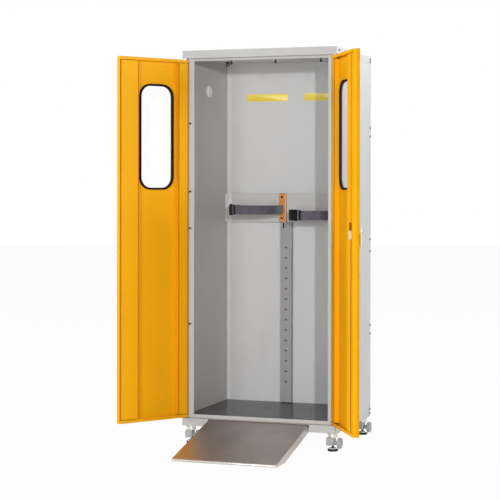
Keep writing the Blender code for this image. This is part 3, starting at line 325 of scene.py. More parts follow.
def brushed_sheet(name, colour, gloss, stretch):
    """Rolled and brushed stainless sheet, its fine scratches all one way."""
    sheet = Finish(name)
    fine = sheet.cloud(sheet.place(stretch), 900.0, 3.0, 0.7)
    broad = sheet.cloud(sheet.place(stretch), 120.0, 2.0, 0.6)
    stain = sheet.cloud(sheet.place(), 5.0, 5.0, 0.6, 0.5)
    scuff = sheet.cloud(sheet.place((2.0, 0.35, 2.0)), 46.0, 4.0, 0.65, 1.2)
    soft, near = sheet.edges(0.0008)
    body = sheet.blend(stain.ease(0.35, 0.7), scaled(colour, 0.90), scaled(colour, 1.06))
    body = sheet.blend(scuff.ease(0.62, 0.74) * 0.25, body, scaled(colour, 1.3))
    # Painted highlight: the sheet lighter along its edges
    body = sheet.blend(near * 0.5, body, scaled(colour, 1.5))
    rough = gloss + (fine - 0.5) * 0.10 + (stain - 0.5) * 0.10 + (broad - 0.5) * 0.05
    bump = sheet.relief(fine * 0.6 + broad * 0.4, 0.00002, soft)
    return sheet.done(Base_Color=body, Roughness=rough, Metallic=1.0, Normal=bump)


def zinc_plate(name, colour, gloss):
    """Zinc plating: bright, clouded and a little blue or straw where it passivated."""
    plate = Finish(name)
    place = plate.place()
    cloud = plate.cloud(place, 70.0, 4.0, 0.6, 0.8)
    fleck = plate.node("ShaderNodeTexVoronoi", {"feature": "F1"},
                       {"Vector": place, "Scale": 900.0}, out="Distance")
    tone = plate.cloud(place, 24.0, 2.0, 0.5)
    soft, near = plate.edges(0.0006)
    straw = (colour[0], colour[1] * 0.97, colour[2] * 0.86)
    body = plate.blend(tone.ease(0.35, 0.65), scaled(colour, 0.9), straw)
    body = plate.blend(cloud.ease(0.5, 0.8) * 0.4, body, scaled(colour, 0.6))
    # Painted highlight: the plating lighter along its edges
    body = plate.blend(near * 0.35, body, scaled(colour, 1.25))
    rough = gloss + (cloud - 0.5) * 0.18 + (fleck - 0.4) * 0.06
    return plate.done(Base_Color=body, Roughness=rough, Metallic=1.0,
                      Normal=plate.relief(cloud, 0.00002, soft))


def pane(name):
    """Clear float glass with a thin film of dust and wipe marks, and painted reflection: paler
    and more opaque at grazing angles.
    """
    glass = Finish(name)
    place = glass.place()
    dust = glass.cloud(place, 9.0, 5.0, 0.65, 0.4)
    wipe = glass.cloud(glass.place((1.0, 1.0, 0.18)), 26.0, 3.0, 0.6)
    # Painted reflection: the pale pane grows more opaque towards grazing angles
    edge = glass.node("ShaderNodeLayerWeight", None, {"Blend": 0.12}, out="Facing")
    film = dust.ease(0.5, 0.85) * 0.035 + wipe.ease(0.55, 0.8) * 0.012
    body = glass.blend(dust, (0.80, 0.86, 0.84), (0.90, 0.92, 0.90))
    solid = 0.05 + film + edge * 0.22
    return glass.done(Base_Color=body, Roughness=0.03 + film, Alpha=solid, IOR=1.5)


def webbing(name):
    """Woven polyester webbing: ribs across, a herringbone of threads, worn selvedges."""
    cloth = Finish(name)
    run = cloth.node("ShaderNodeUVMap", {"uv_map": "weave"})
    u = cloth.node("ShaderNodeSeparateXYZ", None, {0: run})
    v = u.other("Y")
    zig = abs((v * (2 * pi / HERRINGBONE)).sine()) * 1.6
    weft = (u * (2 * pi / WEFT_PITCH) + zig).sine() * 0.5 + 0.5
    warp = (v * (2 * pi / WARP_PITCH)).sine() * 0.5 + 0.5
    fuzz = cloth.cloud(cloth.place(), 2600.0, 3.0, 0.7)
    tone = cloth.cloud(cloth.place(), 21.0, 4.0, 0.6)
    rim = abs(v).ease(WEB_HEIGHT / 2 - 0.0035, WEB_HEIGHT / 2 - 0.0005)
    body = cloth.blend(tone.ease(0.3, 0.7), (0.105, 0.096, 0.128), (0.155, 0.145, 0.180))
    body = cloth.blend((1.0 - weft) * 0.42, body, (0.040, 0.036, 0.050))
    body = cloth.blend(fuzz.ease(0.6, 0.8) * 0.25, body, (0.30, 0.28, 0.32))
    body = cloth.blend(rim * 0.30, body, (0.070, 0.064, 0.085))
    height = weft * 0.55 + warp * 0.25 + fuzz * 0.2
    return cloth.done(Base_Color=body, Roughness=0.82 + (fuzz - 0.5) * 0.12,
                      Normal=cloth.relief(height, 0.00035), Sheen_Weight=0.35,
                      Sheen_Roughness=0.4)


def sign_film(name, colour):
    """Self-adhesive film on the back wall, slightly lifted and faded."""
    film = Finish(name)
    place = film.place()
    fade = film.cloud(place, 11.0, 4.0, 0.6)
    ripple = film.cloud(film.place((1.0, 1.0, 3.0)), 30.0, 2.0, 0.5)
    speck = film.cloud(place, 420.0, 2.0, 0.6)
    soft, near = film.edges(0.0006)
    faded = (colour[0], colour[1] * 1.05, colour[2] * 1.5)
    body = film.blend(fade.ease(0.3, 0.75), scaled(colour, 0.93), faded)
    # Painted highlight: the plate paler along its edges
    body = film.blend(near * 0.5, body, (0.75, 0.72, 0.60))
    rough = 0.34 + (fade - 0.5) * 0.12 + (speck - 0.5) * 0.05
    return film.done(Base_Color=body, Roughness=rough, Coat_Weight=0.15,
                     Normal=film.relief(ripple, 0.00025, soft))


GREY = (0.580, 0.582, 0.580)
INNER = (0.330, 0.325, 0.345)
YELLOW = (0.890, 0.425, 0.008)
BROWN = (0.680, 0.240, 0.036)

LOOKS = {
    "panel_grey": powder_coat("light_grey_coat", GREY, 0.46, shine=0.2),
    "inner_grey": powder_coat("inner_grey_coat", INNER, 0.40),
    # The doors' edge tone under 1 darkens their folds and edges: painted shade
    "door_yellow": powder_coat("warm_yellow_coat", YELLOW, 0.30, dust=0.0, shine=0.0,
                               painted_edge_tone=0.62, lacquer=0.06),
    "gasket_black": rubber("window_rubber", (0.008, 0.006, 0.005), 0.55),
    "clear_glass": pane("window_pane"),
    "stainless": brushed_sheet("ramp_stainless", (0.53, 0.475, 0.45), 0.34,
                               (0.035, 1.0, 1.0)),
    "zinc": zinc_plate("bright_zinc", (0.62, 0.62, 0.60), 0.36),
    "bracket_brown": powder_coat("orange_brown_paint", BROWN, 0.45, 0.0007, 0.05),
    "webbing_grey": webbing("grey_webbing"),
    "plastic_black": moulded("black_moulding", (0.010, 0.010, 0.011), 0.40, shine=0.18),
    "castor_grey": moulded("grey_nylon", (0.43, 0.44, 0.44), 0.40),
    "rubber_black": rubber("tread_rubber", (0.018, 0.018, 0.018), 0.7),
}
# White of the pipe plug, also put on the feet's washers as painted reflection of bright metal
WHITE_PLUG_AND_WASHER_GLINT = moulded("white_plug", (0.92, 0.92, 0.91), 0.35)
# The floor plate: a dark grey coat, darkened further as painted shade of the enclosed interior
FLOOR_SHADED_COAT = powder_coat("floor_slate_coat", (0.080, 0.080, 0.095), 0.24, dust=0.0, shine=0.12)
# Paler copy of the panel grey for the corner trim and rail end plate: painted highlight
LIT_TRIM_COAT = powder_coat("pale_trim_coat", (0.74, 0.742, 0.74), 0.42, shine=0.32)
# Darkened copies of the door yellow for the channel beads: painted shade
LOWER_BEAD_SHADE = powder_coat("bead_brown_coat", (0.36, 0.150, 0.012), 0.40, dust=0.0, shine=0.02)
# Dark amber for strips along the door folds: painted shade
FOLD_SHADE_AMBER = powder_coat("seam_amber_coat", (0.66, 0.22, 0.005), 0.40, dust=0.0, shine=0.02)
UPPER_BEAD_SHADE = powder_coat("bead_amber_coat", (0.58, 0.260, 0.008), 0.40, dust=0.0, shine=0.02)
# Dark brown of the lock cover: painted shade
COVER_SHADE_BROWN = powder_coat("brown_cover_coat", (0.30, 0.085, 0.004), 0.50, dust=0.0, shine=0.02)
NICKEL = zinc_plate("satin_nickel", (0.62, 0.58, 0.46), 0.34)
# The roof in a darker copy of the panel grey: painted shade
ROOF_SHADED_COAT = powder_coat("roof_grey_coat", (0.530, 0.532, 0.530), 0.46, shine=0.2)
# Back wall and ceiling in a lighter copy of the panel grey: painted light
WALL_LIT_COAT = powder_coat("inner_wall_coat", (0.655, 0.657, 0.660), 0.44, shine=0.25)
CREAM_COAT = powder_coat("cream_edge_coat", (0.80, 0.64, 0.42), 0.45, dust=0.0, shine=0.1)
DARK_STEEL = zinc_plate("blackened_steel", (0.10, 0.10, 0.105), 0.42)
# Lighter steel for the ramp's rolled nose: painted highlight
BRIGHT_STEEL_HIGHLIGHT = zinc_plate("nickel_plate", (0.72, 0.71, 0.68), 0.24)
SIGN_YELLOW = sign_film("blank_sign_yellow", (0.98, 0.74, 0.075))
BLACK_OXIDE = moulded("black_oxide", (0.012, 0.012, 0.014), 0.45, shine=0.2)
DULL_NICKEL = zinc_plate("dull_nickel", (0.24, 0.23, 0.24), 0.38)

OWN_FINISH = {"pipe_plug": WHITE_PLUG_AND_WASHER_GLINT, "floor_plate": FLOOR_SHADED_COAT, "lock_case": NICKEL,
              "handle": NICKEL, "back_panel": WALL_LIT_COAT, "ceiling_panel": WALL_LIT_COAT,
              "roof_panel": ROOF_SHADED_COAT}


def dress_nodes():
    """Gives every node of the frame the finish of its material slot."""
    slots = {part["node"]: part["material_slot"] for part in frame["record"]["subparts"]}
    for name, thing in frame["nodes"].items():
        for slot in thing.material_slots:
            slot.material = OWN_FINISH.get(name, LOOKS[slots[name]])


def new_piece(name, mesh, slot, body, finish=None):
    """A finished piece: given its own finish or its slot's, and riding on its body."""
    made = placed(name, mesh)
    mesh.materials.clear()
    mesh.materials.append(LOOKS[slot] if finish is None else finish)
    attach(made, body)
    return made


def creased(mesh, degrees):
    """Shades a mesh smooth but for its edges above this angle."""
    mesh.shade_smooth()
    mesh.set_sharp_from_angle(angle=radians(degrees))
    return mesh


def mesh_from(work, name, degrees=35):
    """A mesh from a bmesh, its normals outward and its creases kept."""
    bmesh.ops.recalc_face_normals(work, faces=work.faces)
    mesh = bpy.data.meshes.new(name)
    work.to_mesh(mesh)
    work.free()
    return creased(mesh, degrees)


def made_piece(name, maker, solids, slot, body, finish=None):
    """A piece of solids, each by block, turned or skinned from what that maker needs."""
    work = bmesh.new()
    for solid in solids:
        maker(work, *solid)
    new_piece(name, mesh_from(work, name), slot, body, finish)


def grown_piece(name, pattern, spots, sizes, slot, body, finish=None):
    """A piece from a pattern over its spots."""
    finish = LOOKS[slot] if finish is None else finish
    mesh = pattern.grow(name, spots, sizes, finish)
    new_piece(name, creased(mesh, 30), slot, body, finish)


def stand(origin, z_way, x_way):
    """A frame at a place: its Z along one way, its X as near another as it can be."""
    z = Vector(z_way).normalized()
    y = z.cross(Vector(x_way)).normalized()
    turn = Matrix((y.cross(z), y, z)).transposed()
    return Matrix.Translation(Vector(origin)) @ turn.to_4x4()


def block(work, place, size, bevel):
    """A solid with rounded edges, centred on a frame."""
    made = bmesh.ops.create_cube(work, size=1.0, matrix=place @ Matrix.Diagonal((*size, 1.0)))
    edges = list(dict.fromkeys(edge for vert in made["verts"] for edge in vert.link_edges))
    bmesh.ops.bevel(work, geom=edges, offset=bevel, segments=2, profile=0.5,
                    affect="EDGES", clamp_overlap=True)


def turned(work, place, profile, steps, ring=False):
    """A turned solid of (radius, height) points round a frame's Z."""
    rows = []
    for radius, height in profile:
        angles = [2 * pi * i / steps for i in range(steps if radius > 0 else 1)]
        ring_of = [Vector((radius * cos(a), radius * sin(a), height)) for a in angles]
        rows.append([work.verts.new(place @ spot) for spot in ring_of])
    pairs = list(zip(rows, rows[1:]))
    if ring:
        pairs.append((rows[-1], rows[0]))
    for low, high in pairs:
        for i in range(steps):
            j = (i + 1) % steps
            corners = (low[i % len(low)], low[j % len(low)],
                       high[j % len(high)], high[i % len(high)])
            work.faces.new(list(dict.fromkeys(corners)))


def skinned(work, sections):
    """A solid through a run of cross sections that have equally many places."""
    rows = [[work.verts.new(place) for place in section] for section in sections]
    for low, high in zip(rows, rows[1:]):
        for i in range(len(low)):
            j = (i + 1) % len(low)
            work.faces.new((low[i], low[j], high[j], high[i]))
    work.faces.new(rows[0])
    work.faces.new(rows[-1])


def oval(middle, radii, step, start=0, end=360):
    """Points round an oval, one every few degrees."""
    return [(middle[0] + radii[0] * cos(radians(a)),
             middle[1] + radii[1] * sin(radians(a))) for a in range(start, end, step)]


STAGE_RADIUS = 26.0
STAGE_TONES = ((0.50, 0.50, 0.50), (0.54, 0.54, 0.54))
STAGE_GLOW = 0.965


def stage_floor():
    """A plain pale floor that keeps the shadow, and shows near white to the camera."""
    work = bmesh.new()
    bmesh.ops.create_circle(work, cap_ends=True, segments=96, radius=STAGE_RADIUS)
    mesh = bpy.data.meshes.new("studio_floor")
    work.to_mesh(mesh)
    work.free()
    floor = placed("studio_floor", mesh)
    pale = Finish("studio_floor_white")
    tone = pale.blend(pale.cloud(pale.place(), 3.0, 3.0, 0.5), *STAGE_TONES)
    matt = pale.node("ShaderNodeBsdfDiffuse", None, {"Color": tone}, out="BSDF")
    glow = pale.node("ShaderNodeEmission", None, {"Color": WHITE, "Strength": 1.0},
                     out="Emission")
    mixed = pale.node("ShaderNodeMixShader", None,
                      {0: pale.seen_white() * STAGE_GLOW, 1: matt, 2: glow}, out="Shader")
    pale.end("ShaderNodeOutputMaterial", mixed)
    mesh.materials.append(pale.material)


def studio_world():
    """White to the camera, to gloss and through glass; a soft even fill otherwise."""
    world = bpy.data.worlds.new("studio")
    bpy.context.scene.world = world
    world.use_nodes = True
    sky = Graph(world.node_tree)
    fill, white = (sky.node("ShaderNodeBackground", None, {"Color": WHITE, "Strength": level})
                   for level in (WORLD_FILL, 1.0))
    mixed = sky.node("ShaderNodeMixShader", None, {0: sky.seen_white(), 1: fill, 2: white})
    sky.end("ShaderNodeOutputWorld", mixed)


def studio_lamps():
    """Square soft lamps, each as bright as its share of a white surface facing it."""
    aim = Vector(AIM)
    for name, turn, rise, distance, size, level in LAMPS:
        a = radians(turn)
        e = radians(rise)
        way = Vector((sin(a) * cos(e), -cos(a) * cos(e), sin(e)))
        data = bpy.data.lights.new(name, "AREA")
        data.shape = "SQUARE"
        data.size = size
        data.energy = level * pi ** 2 * distance ** 2
        lamp = placed(name, data)
        lamp.location = aim + way * distance
        lamp.rotation_euler = (-way).to_track_quat("-Z", "Y").to_euler()


def photo_camera():
    """The camera that took the photograph, as fitted to the cabinet's edges."""
    bpy.context.scene.view_settings.view_transform = "Standard"
    data = bpy.data.cameras.new("camera")
    data.sensor_fit = "HORIZONTAL"
    data.sensor_width = SENSOR
    data.lens = FOCAL_PIXELS / PICTURE_PIXELS * SENSOR
    data.shift_x = (PICTURE_PIXELS / 2 - AXIS_PIXEL[0]) / PICTURE_PIXELS
    data.shift_y = (AXIS_PIXEL[1] - PICTURE_PIXELS / 2) / PICTURE_PIXELS
    data.clip_end = 200.0
    camera = placed("camera", data)
    level = Matrix.Rotation(YAW, 4, "Z") @ Matrix.Rotation(pi / 2 + PITCH, 4, "X")
    camera.matrix_world = Matrix.Translation(EYE) @ level @ Matrix.Rotation(ROLL, 4, "Z")
    bpy.context.scene.camera = camera


# Strap's line: gap to the rail, angles between which it runs straight, and points per stretch
RAIL_GAP = 0.002
STRAIGHT_FROM, STRAIGHT_TO = radians(188.0), radians(212.0)
HALF_TURN, FULL_TURN = radians(180.0), radians(360.0)
SIDE_STEPS, START_STEPS, STRAIGHT_STEPS, BEND_STEPS = 6, 4, 8, 60

# Strap's section: points across, thickness left at the selvedge, and its slight belly's
# depth, waves along per metre and half waves across
WEB_STEPS = 12
SELVEDGE = 0.45
BELLY = 0.00028
BELLY_ALONG = 61.0
BELLY_ACROSS = 2.1


def strap_line(node):
    """Centre line of a strap, from its node's box: round the bay and back to the rail."""
    low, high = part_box(node)
    radius = (high.x - low.x - CAD_WEB_THICK) / 2
    middle_x = (low.x + high.x) / 2
    middle_y = low.y + CAD_WEB_THICK / 2 + radius
    droop = high.z - low.z - WEB_HEIGHT
    top = high.z - WEB_HEIGHT / 2
    side = high.y - RAIL_GAP - middle_y

    def at(angle):
        """The place on the loop's circle at an angle."""
        return middle_x + radius * cos(angle), middle_y + radius * sin(angle)

    first, last = at(STRAIGHT_FROM), at(STRAIGHT_TO)
    flat = [(middle_x - radius, high.y - RAIL_GAP - i * side / SIDE_STEPS)
            for i in range(SIDE_STEPS)]
    flat += [at(HALF_TURN + (STRAIGHT_FROM - HALF_TURN) * i / START_STEPS)
             for i in range(START_STEPS)]
    flat += [(first[0] + (last[0] - first[0]) * i / STRAIGHT_STEPS,
              first[1] + (last[1] - first[1]) * i / STRAIGHT_STEPS)
             for i in range(STRAIGHT_STEPS)]
    flat += [at(STRAIGHT_TO + (FULL_TURN - STRAIGHT_TO) * i / BEND_STEPS)
             for i in range(BEND_STEPS + 1)]
    flat += [(middle_x + radius, middle_y + i * side / SIDE_STEPS)
             for i in range(1, SIDE_STEPS + 1)]
    run = [0.0]
    for a, b in zip(flat, flat[1:]):
        run.append(run[-1] + dist(a, b))
    return [(x, y, top - droop * r / run[-1], r) for (x, y), r in zip(flat, run)]


def strap_piece(name, node):
    """Webbing with round selvedges and a slight belly between its holds."""
    line = strap_line(node)
    half = WEB_HEIGHT / 2
    ring = [(-half + 2 * half * i / WEB_STEPS,
             WEB_THICK / 2 * (1.0 if 0 < i < WEB_STEPS else SELVEDGE))
            for i in range(WEB_STEPS + 1)]
    section = ring + [(v, -t) for v, t in reversed(ring)]
    sections = []
    for i, (x, y, z, r) in enumerate(line):
        before = line[max(i - 1, 0)]
        after = line[min(i + 1, len(line) - 1)]
        way = Vector((after[0] - before[0], after[1] - before[1])).normalized()
        belly = BELLY * sin(r * BELLY_ALONG) * sin(pi * r / line[-1][3])
        outs = [t + belly * sin(v / half * BELLY_ACROSS) for v, t in section]
        sections.append([(x + way.y * out, y - way.x * out, z + v)
                         for out, (v, t) in zip(outs, section)])
    work = bmesh.new()
    weave = work.loops.layers.uv.new("weave")
    skinned(work, sections)
    work.verts.index_update()
    woven = [(r, v) for x, y, z, r in line for v, t in section]
    for face in list(work.faces)[:-2]:
        for loop in face.loops:
            loop[weave].uv = woven[loop.vert.index]
    made = new_piece(name, mesh_from(work, name, 50), "webbing_grey", "cabinet")
    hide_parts(node)


HEAD_SIZES = ("Sides", "Radius", "Height", "Crown", "Bore", "Depth")
BAR_SIZES = ("Length", "Width", "Height")
CROWN_RISE = 0.35
BORE_TAPER = 0.9


def head_pattern():
    """Fastener heads: a low crown with a bore sunk in it."""
    heads = Pattern("fastener_heads", HEAD_SIZES)
    shape = heads.node("GeometryNodeMeshCylinder", {"fill_type": "NGON"},
                       {"Vertices": heads.size("Sides"), "Radius": heads.size("Radius"),
                        "Depth": heads.size("Height")}, out="Mesh")
    top = shape.other("Top")
    steps = ((heads.size("Height") * CROWN_RISE, heads.size("Crown")),
             (0.0, heads.size("Bore")), (heads.size("Depth") * -1.0, BORE_TAPER))
    for rise, share in steps:
        pushed = heads.node("GeometryNodeExtrudeMesh", {"mode": "FACES"},
                            {"Mesh": shape, "Selection": top, "Offset Scale": rise,
                             "Individual": False}, out="Mesh")
        top = pushed.other("Top")
        shape = heads.node("GeometryNodeScaleElements", {"domain": "FACE"},
                           {"Geometry": pushed, "Selection": top, "Scale": share})
    heads.close(shape)
    return heads


def bar_pattern(name, round_ends):
    """Bars or threads that lie along one way on a surface."""
    made = Pattern(name, BAR_SIZES)
    if round_ends:
        shape = made.node("GeometryNodeMeshUVSphere", None,
                          {"Segments": 8, "Rings": 5, "Radius": 0.5})
    else:
        shape = made.node("GeometryNodeMeshCylinder", {"fill_type": "NGON"},
                          {"Vertices": 12, "Radius": 0.5, "Depth": 1.0}, out="Mesh")
    laid = made.node("GeometryNodeTransform", None,
                     {"Geometry": shape, "Rotation": (0.0, pi / 2, 0.0)})
    size = made.node("ShaderNodeCombineXYZ", None,
                     {i: made.size(label) for i, label in enumerate(BAR_SIZES)})
    made.close(made.node("GeometryNodeTransform", None, {"Geometry": laid, "Scale": size}))
    return made


HEADS = head_pattern()
BARS = bar_pattern("rounded_bars", False)
THREADS = bar_pattern("sewn_threads", True)


def fasteners(name, spots, sizes, body, finish=None):
    """A piece of fastener heads."""
    grown_piece(name, HEADS, spots, sizes, "zinc", body, finish)


def bars(name, spots, sizes, slot, body, finish=None, pattern=BARS):
    """A piece of bars or threads, their sizes as length, width and height."""
    grown_piece(name, pattern, spots, dict(zip(BAR_SIZES, sizes)), slot, body, finish)


UP = (0.0, 0.0, 1.0)
DOWN = (0.0, 0.0, -1.0)
FRONT = (0.0, -1.0, 0.0)
REAR = (0.0, 1.0, 0.0)
RIGHT = (1.0, 0.0, 0.0)
SIDES = (-1, 1)
RIVET = dict(zip(HEAD_SIZES, (16, 0.0036, 0.0022, 0.62, 0.5, 0.0012)))
SCREW = dict(zip(HEAD_SIZES, (18, 0.0052, 0.0040, 0.80, 0.55, 0.0020)))
NUT = dict(zip(HEAD_SIZES, (6, 0.0058, 0.0050, 0.90, 0.52, 0.0008)))
FLUSH_RIVET = dict(RIVET, Radius=0.0048, Height=0.0008, Depth=0.0004)
SIDE_RIVET = dict(RIVET, Radius=0.0052, Height=0.0034)
CASE_SCREW = dict(SCREW, Radius=0.0036, Height=0.0022)
KEEP_RIVET = dict(RIVET, Radius=0.0028)

# Inner faces of the ceiling and the back wall
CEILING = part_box("ceiling_panel")[0].z
BACK_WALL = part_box("back_panel")[0].y

# Places of small fasteners on the cabinet, from the photograph where it shows them
JAMB_RIVET_X = -0.331
JAMB_RIVET_SINK = 0.0006
JAMB_RIVETS = (1.4669, 1.1561, 0.9892, 0.5514)
SIDE_RIVET_INSET = 0.012
SIDE_RIVETS = (1.787, 1.7745, 1.4600, 1.4200, 0.9306, 0.8733, 0.5200, 0.4800, 0.1179, 0.0988)
ROOF_RIVET_INSET = 0.045
ROOF_RIVET_Z = 1.786
BACK_SCREW_X = 0.340
BACK_SCREW_INSET = 0.06
BACK_SCREW_ROWS = 8
BACK_SCREWS_ACROSS = (-0.17, 0.0, 0.17)
BRACKET_SCREW_SHIFT = 0.0035
BRACKET_SCREWS = (1.1304, 1.0287)
WALL_RIVET_Z = 1.478
INNER_WALL_X = 0.3565
INNER_WALL_RIVET_Y = 0.432
BACK_WALL_RIVET_X = 0.328
CASTOR_NUT_INSET = 0.009
CASTOR_PLATE_THICK = 0.0035
CASTORS = ("front_left", "front_right", "rear_left", "rear_right")

# Bolt ends behind the header: places, foot, nut's height on them, their reach into the
# ceiling, and the thread, with where its root and its crest come in a turn
BOLTS_X = (-0.1456, 0.0664, 0.2812)
BOLT_Y = -0.026
BOLT_FOOT = 1.7350
BOLT_NUT = 0.0075
BOLT_REACH = 0.002
THREAD_PITCH = 0.00125
ROOT_AT, CREST_AT = 0.3, 0.8
BOLT_TIP, BOLT_ROOT, BOLT_CREST = 0.0022, 0.0025, 0.0031


def small_fasteners():
    """Rivets, screws and nuts on the cabinet."""
    side_low, side_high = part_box("side_panel_right")
    front = side_low.y
    spots = [((JAMB_RIVET_X, front + JAMB_RIVET_SINK, z), FRONT, UP) for z in JAMB_RIVETS]
    fasteners("jamb_rivets", spots, FLUSH_RIVET, "cabinet", BLACK_OXIDE)
    rear_y = side_high.y - SIDE_RIVET_INSET
    spots = [((side * side_high.x, rear_y, z), (side, 0.0, 0.0), UP)
             for side in SIDES for z in SIDE_RIVETS]
    spots += [((side * side_high.x, front + ROOF_RIVET_INSET, ROOF_RIVET_Z),
               (side, 0.0, 0.0), UP) for side in SIDES]
    fasteners("side_rivets", spots, SIDE_RIVET, "cabinet", BLACK_OXIDE)
    back_low, back_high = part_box("back_panel")
    height = back_high.z - back_low.z - 2 * BACK_SCREW_INSET
    rows = [back_low.z + BACK_SCREW_INSET + i * height / (BACK_SCREW_ROWS - 1)
            for i in range(BACK_SCREW_ROWS)]
    spots = [((side * BACK_SCREW_X, back_high.y, z), REAR, UP) for side in SIDES for z in rows]
    spots += [((x, back_high.y, z), REAR, UP)
              for x in BACK_SCREWS_ACROSS for z in (rows[0], rows[-1])]
    fasteners("back_panel_screws", spots, SCREW, "cabinet")
    low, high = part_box("strap_bracket")
    middle = (low.x + high.x) / 2 - BRACKET_SCREW_SHIFT
    spots = [((middle, low.y, z), FRONT, UP) for z in BRACKET_SCREWS]
    fasteners("bracket_screws", spots, SCREW, "cabinet", BLACK_OXIDE)
    spots = [((side * INNER_WALL_X, INNER_WALL_RIVET_Y, WALL_RIVET_Z), (-side, 0.0, 0.0), UP)
             for side in SIDES]
    spots += [((side * BACK_WALL_RIVET_X, BACK_WALL, WALL_RIVET_Z), FRONT, UP)
              for side in SIDES]
    fasteners("wall_rivets", spots, RIVET, "cabinet")
    spots = []
    for name in CASTORS:
        low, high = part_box("castor_plate_" + name)
        spots += [((x, y, high.z - CASTOR_PLATE_THICK), DOWN, RIGHT)
                  for x in (low.x + CASTOR_NUT_INSET, high.x - CASTOR_NUT_INSET)
                  for y in (low.y + CASTOR_NUT_INSET, high.y - CASTOR_NUT_INSET)]
    fasteners("castor_plate_nuts", spots, NUT, "cabinet")
    spots = [((x, BOLT_Y, BOLT_FOOT + BOLT_NUT), DOWN, RIGHT) for x in BOLTS_X]
    fasteners("ceiling_bolt_nuts", spots, NUT, "cabinet", BLACK_OXIDE)


def ceiling_bolts():
    """Threaded bolt ends that hang down behind the header."""
    turns = int((CEILING + BOLT_REACH - BOLT_FOOT) / THREAD_PITCH)
    profile = [(0.0, 0.0), (BOLT_TIP, 0.0)]
    for i in range(turns):
        profile += [(BOLT_ROOT, THREAD_PITCH * (i + ROOT_AT)),
                    (BOLT_CREST, THREAD_PITCH * (i + CREST_AT))]
    profile.append((0.0, THREAD_PITCH * turns))
    bolts = [(stand((x, BOLT_Y, BOLT_FOOT), UP, RIGHT), profile, 20) for x in BOLTS_X]
    made_piece("ceiling_bolts", turned, bolts, "zinc", "cabinet", BLACK_OXIDE)


# Cable clip: place, how far its pad's and its ring's middles hang down, and their sizes
CLIP_X, CLIP_Y = -0.3060, 0.350
CLIP_PAD_DROP, CLIP_PAD, CLIP_BEVEL = 0.0018, (0.018, 0.014, 0.0036), 0.001
CLIP_RING_DROP, CLIP_RING, CLIP_WIRE = 0.0122, (0.0075, 0.0), (0.0024, 0.0045)


def ceiling_clip():
    """A moulded cable clip under the ceiling."""
    pad = stand((CLIP_X, CLIP_Y, CEILING - CLIP_PAD_DROP), UP, RIGHT)
    ring = stand((CLIP_X, CLIP_Y, CEILING - CLIP_RING_DROP), FRONT, RIGHT)
    work = bmesh.new()
    block(work, pad, CLIP_PAD, CLIP_BEVEL)
    turned(work, ring, oval(CLIP_RING, CLIP_WIRE, 30), 28, True)
    new_piece("ceiling_clip", mesh_from(work, "ceiling_clip"), "plastic_black", "cabinet")


# Bare plates: left and right end of each, foot and head, corner radius, and the face's layers
# as depth and share of the outline
SIGNS = (("left", -0.2557, -0.0447), ("right", 0.0400, 0.2510))
SIGN_FOOT, SIGN_HEAD = 1.5965, 1.6325
SIGN_CORNER = 0.003
SIGN_LAYERS = ((0.0, 1.0), (-0.0006, 1.0), (-0.0008, 0.997))


def bare_signs():
    """Blank yellow plates high on the back wall, round at the corners."""
    foot, head = SIGN_FOOT + SIGN_CORNER, SIGN_HEAD - SIGN_CORNER
    middle_z = (SIGN_FOOT + SIGN_HEAD) / 2
    for word, left, right in SIGNS:
        first, last = left + SIGN_CORNER, right - SIGN_CORNER
        outline = []
        for corner, start in (((last, head), 0), ((first, head), 90),
                              ((first, foot), 180), ((last, foot), 270)):
            outline += oval(corner, (SIGN_CORNER, SIGN_CORNER), 15, start, start + 91)
        middle_x = (left + right) / 2
        layers = [[(middle_x + (x - middle_x) * pull, BACK_WALL + depth,
                    middle_z + (z - middle_z) * pull) for x, z in outline]
                  for depth, pull in SIGN_LAYERS]
        made_piece("bare_sign_" + word, skinned, [(layers,)], "panel_grey", "cabinet",
                   SIGN_YELLOW)


# Corner trim's section: distance from the cabinet's middle, and out from the back wall
TRIM_SECTION = ((0.3562, 0.0), (0.3380, 0.0), (0.3380, 0.0010), (0.3395, 0.0022),
                (0.3535, 0.0022), (0.3540, 0.0035), (0.3562, 0.0035))
TRIM_GAP = 0.001


def corner_trim():
    """Folded strips down the back corners, above and below the cylinder rail, in a paler grey as
    painted highlight.
    """
    rail_low, rail_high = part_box("cylinder_rail")
    floor_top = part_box("floor_plate")[1].z
    runs = ((floor_top + TRIM_GAP, rail_low.z - TRIM_GAP),
            (rail_high.z + TRIM_GAP, CEILING - TRIM_GAP))
    for side, word in ((-1, "left"), (1, "right")):
        strips = [([[(side * x, BACK_WALL - out, z) for x, out in TRIM_SECTION]
                    for z in run],) for run in runs]
        made_piece("corner_trim_" + word, skinned, strips, "panel_grey", "cabinet", LIT_TRIM_COAT)


# Rail's end plate: middle, width, thickness and how much lower than the rail it is, and its
# rivets' distance from the middle
END_PLATE_X = -0.3403
END_PLATE_WIDE, END_PLATE_THICK, END_PLATE_SHORT = 0.0318, 0.0024, 0.001
END_RIVET_STEP = 0.052
FINE_BEVEL = 0.0006


def rail_end_plate():
    """The plate that ties the rail's left end to the wall, with its two rivets, painted pale as
    highlight.
    """
    low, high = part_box("cylinder_rail")
    middle = Vector((END_PLATE_X, low.y - END_PLATE_THICK / 2, (low.z + high.z) / 2))
    size = (END_PLATE_WIDE, high.z - low.z - END_PLATE_SHORT, END_PLATE_THICK)
    made_piece("rail_end_plate", block, [(stand(middle, FRONT, RIGHT), size, FINE_BEVEL)],
               "panel_grey", "cabinet", LIT_TRIM_COAT)
    spots = [((middle.x, low.y - END_PLATE_THICK, middle.z + side * END_RIVET_STEP), FRONT, UP)
             for side in SIDES]
    fasteners("rail_end_rivets", spots, RIVET, "cabinet")


# Bracket's pale edge, partly painted highlight: how far its middle lies in from the right side
# and out from the face,
# its width and thickness, and how much lower than the bracket it is
EDGE_IN, EDGE_OUT = 0.0024, 0.0004
EDGE_WIDE, EDGE_THICK, EDGE_SHORT = 0.0046, 0.0016, 0.0006


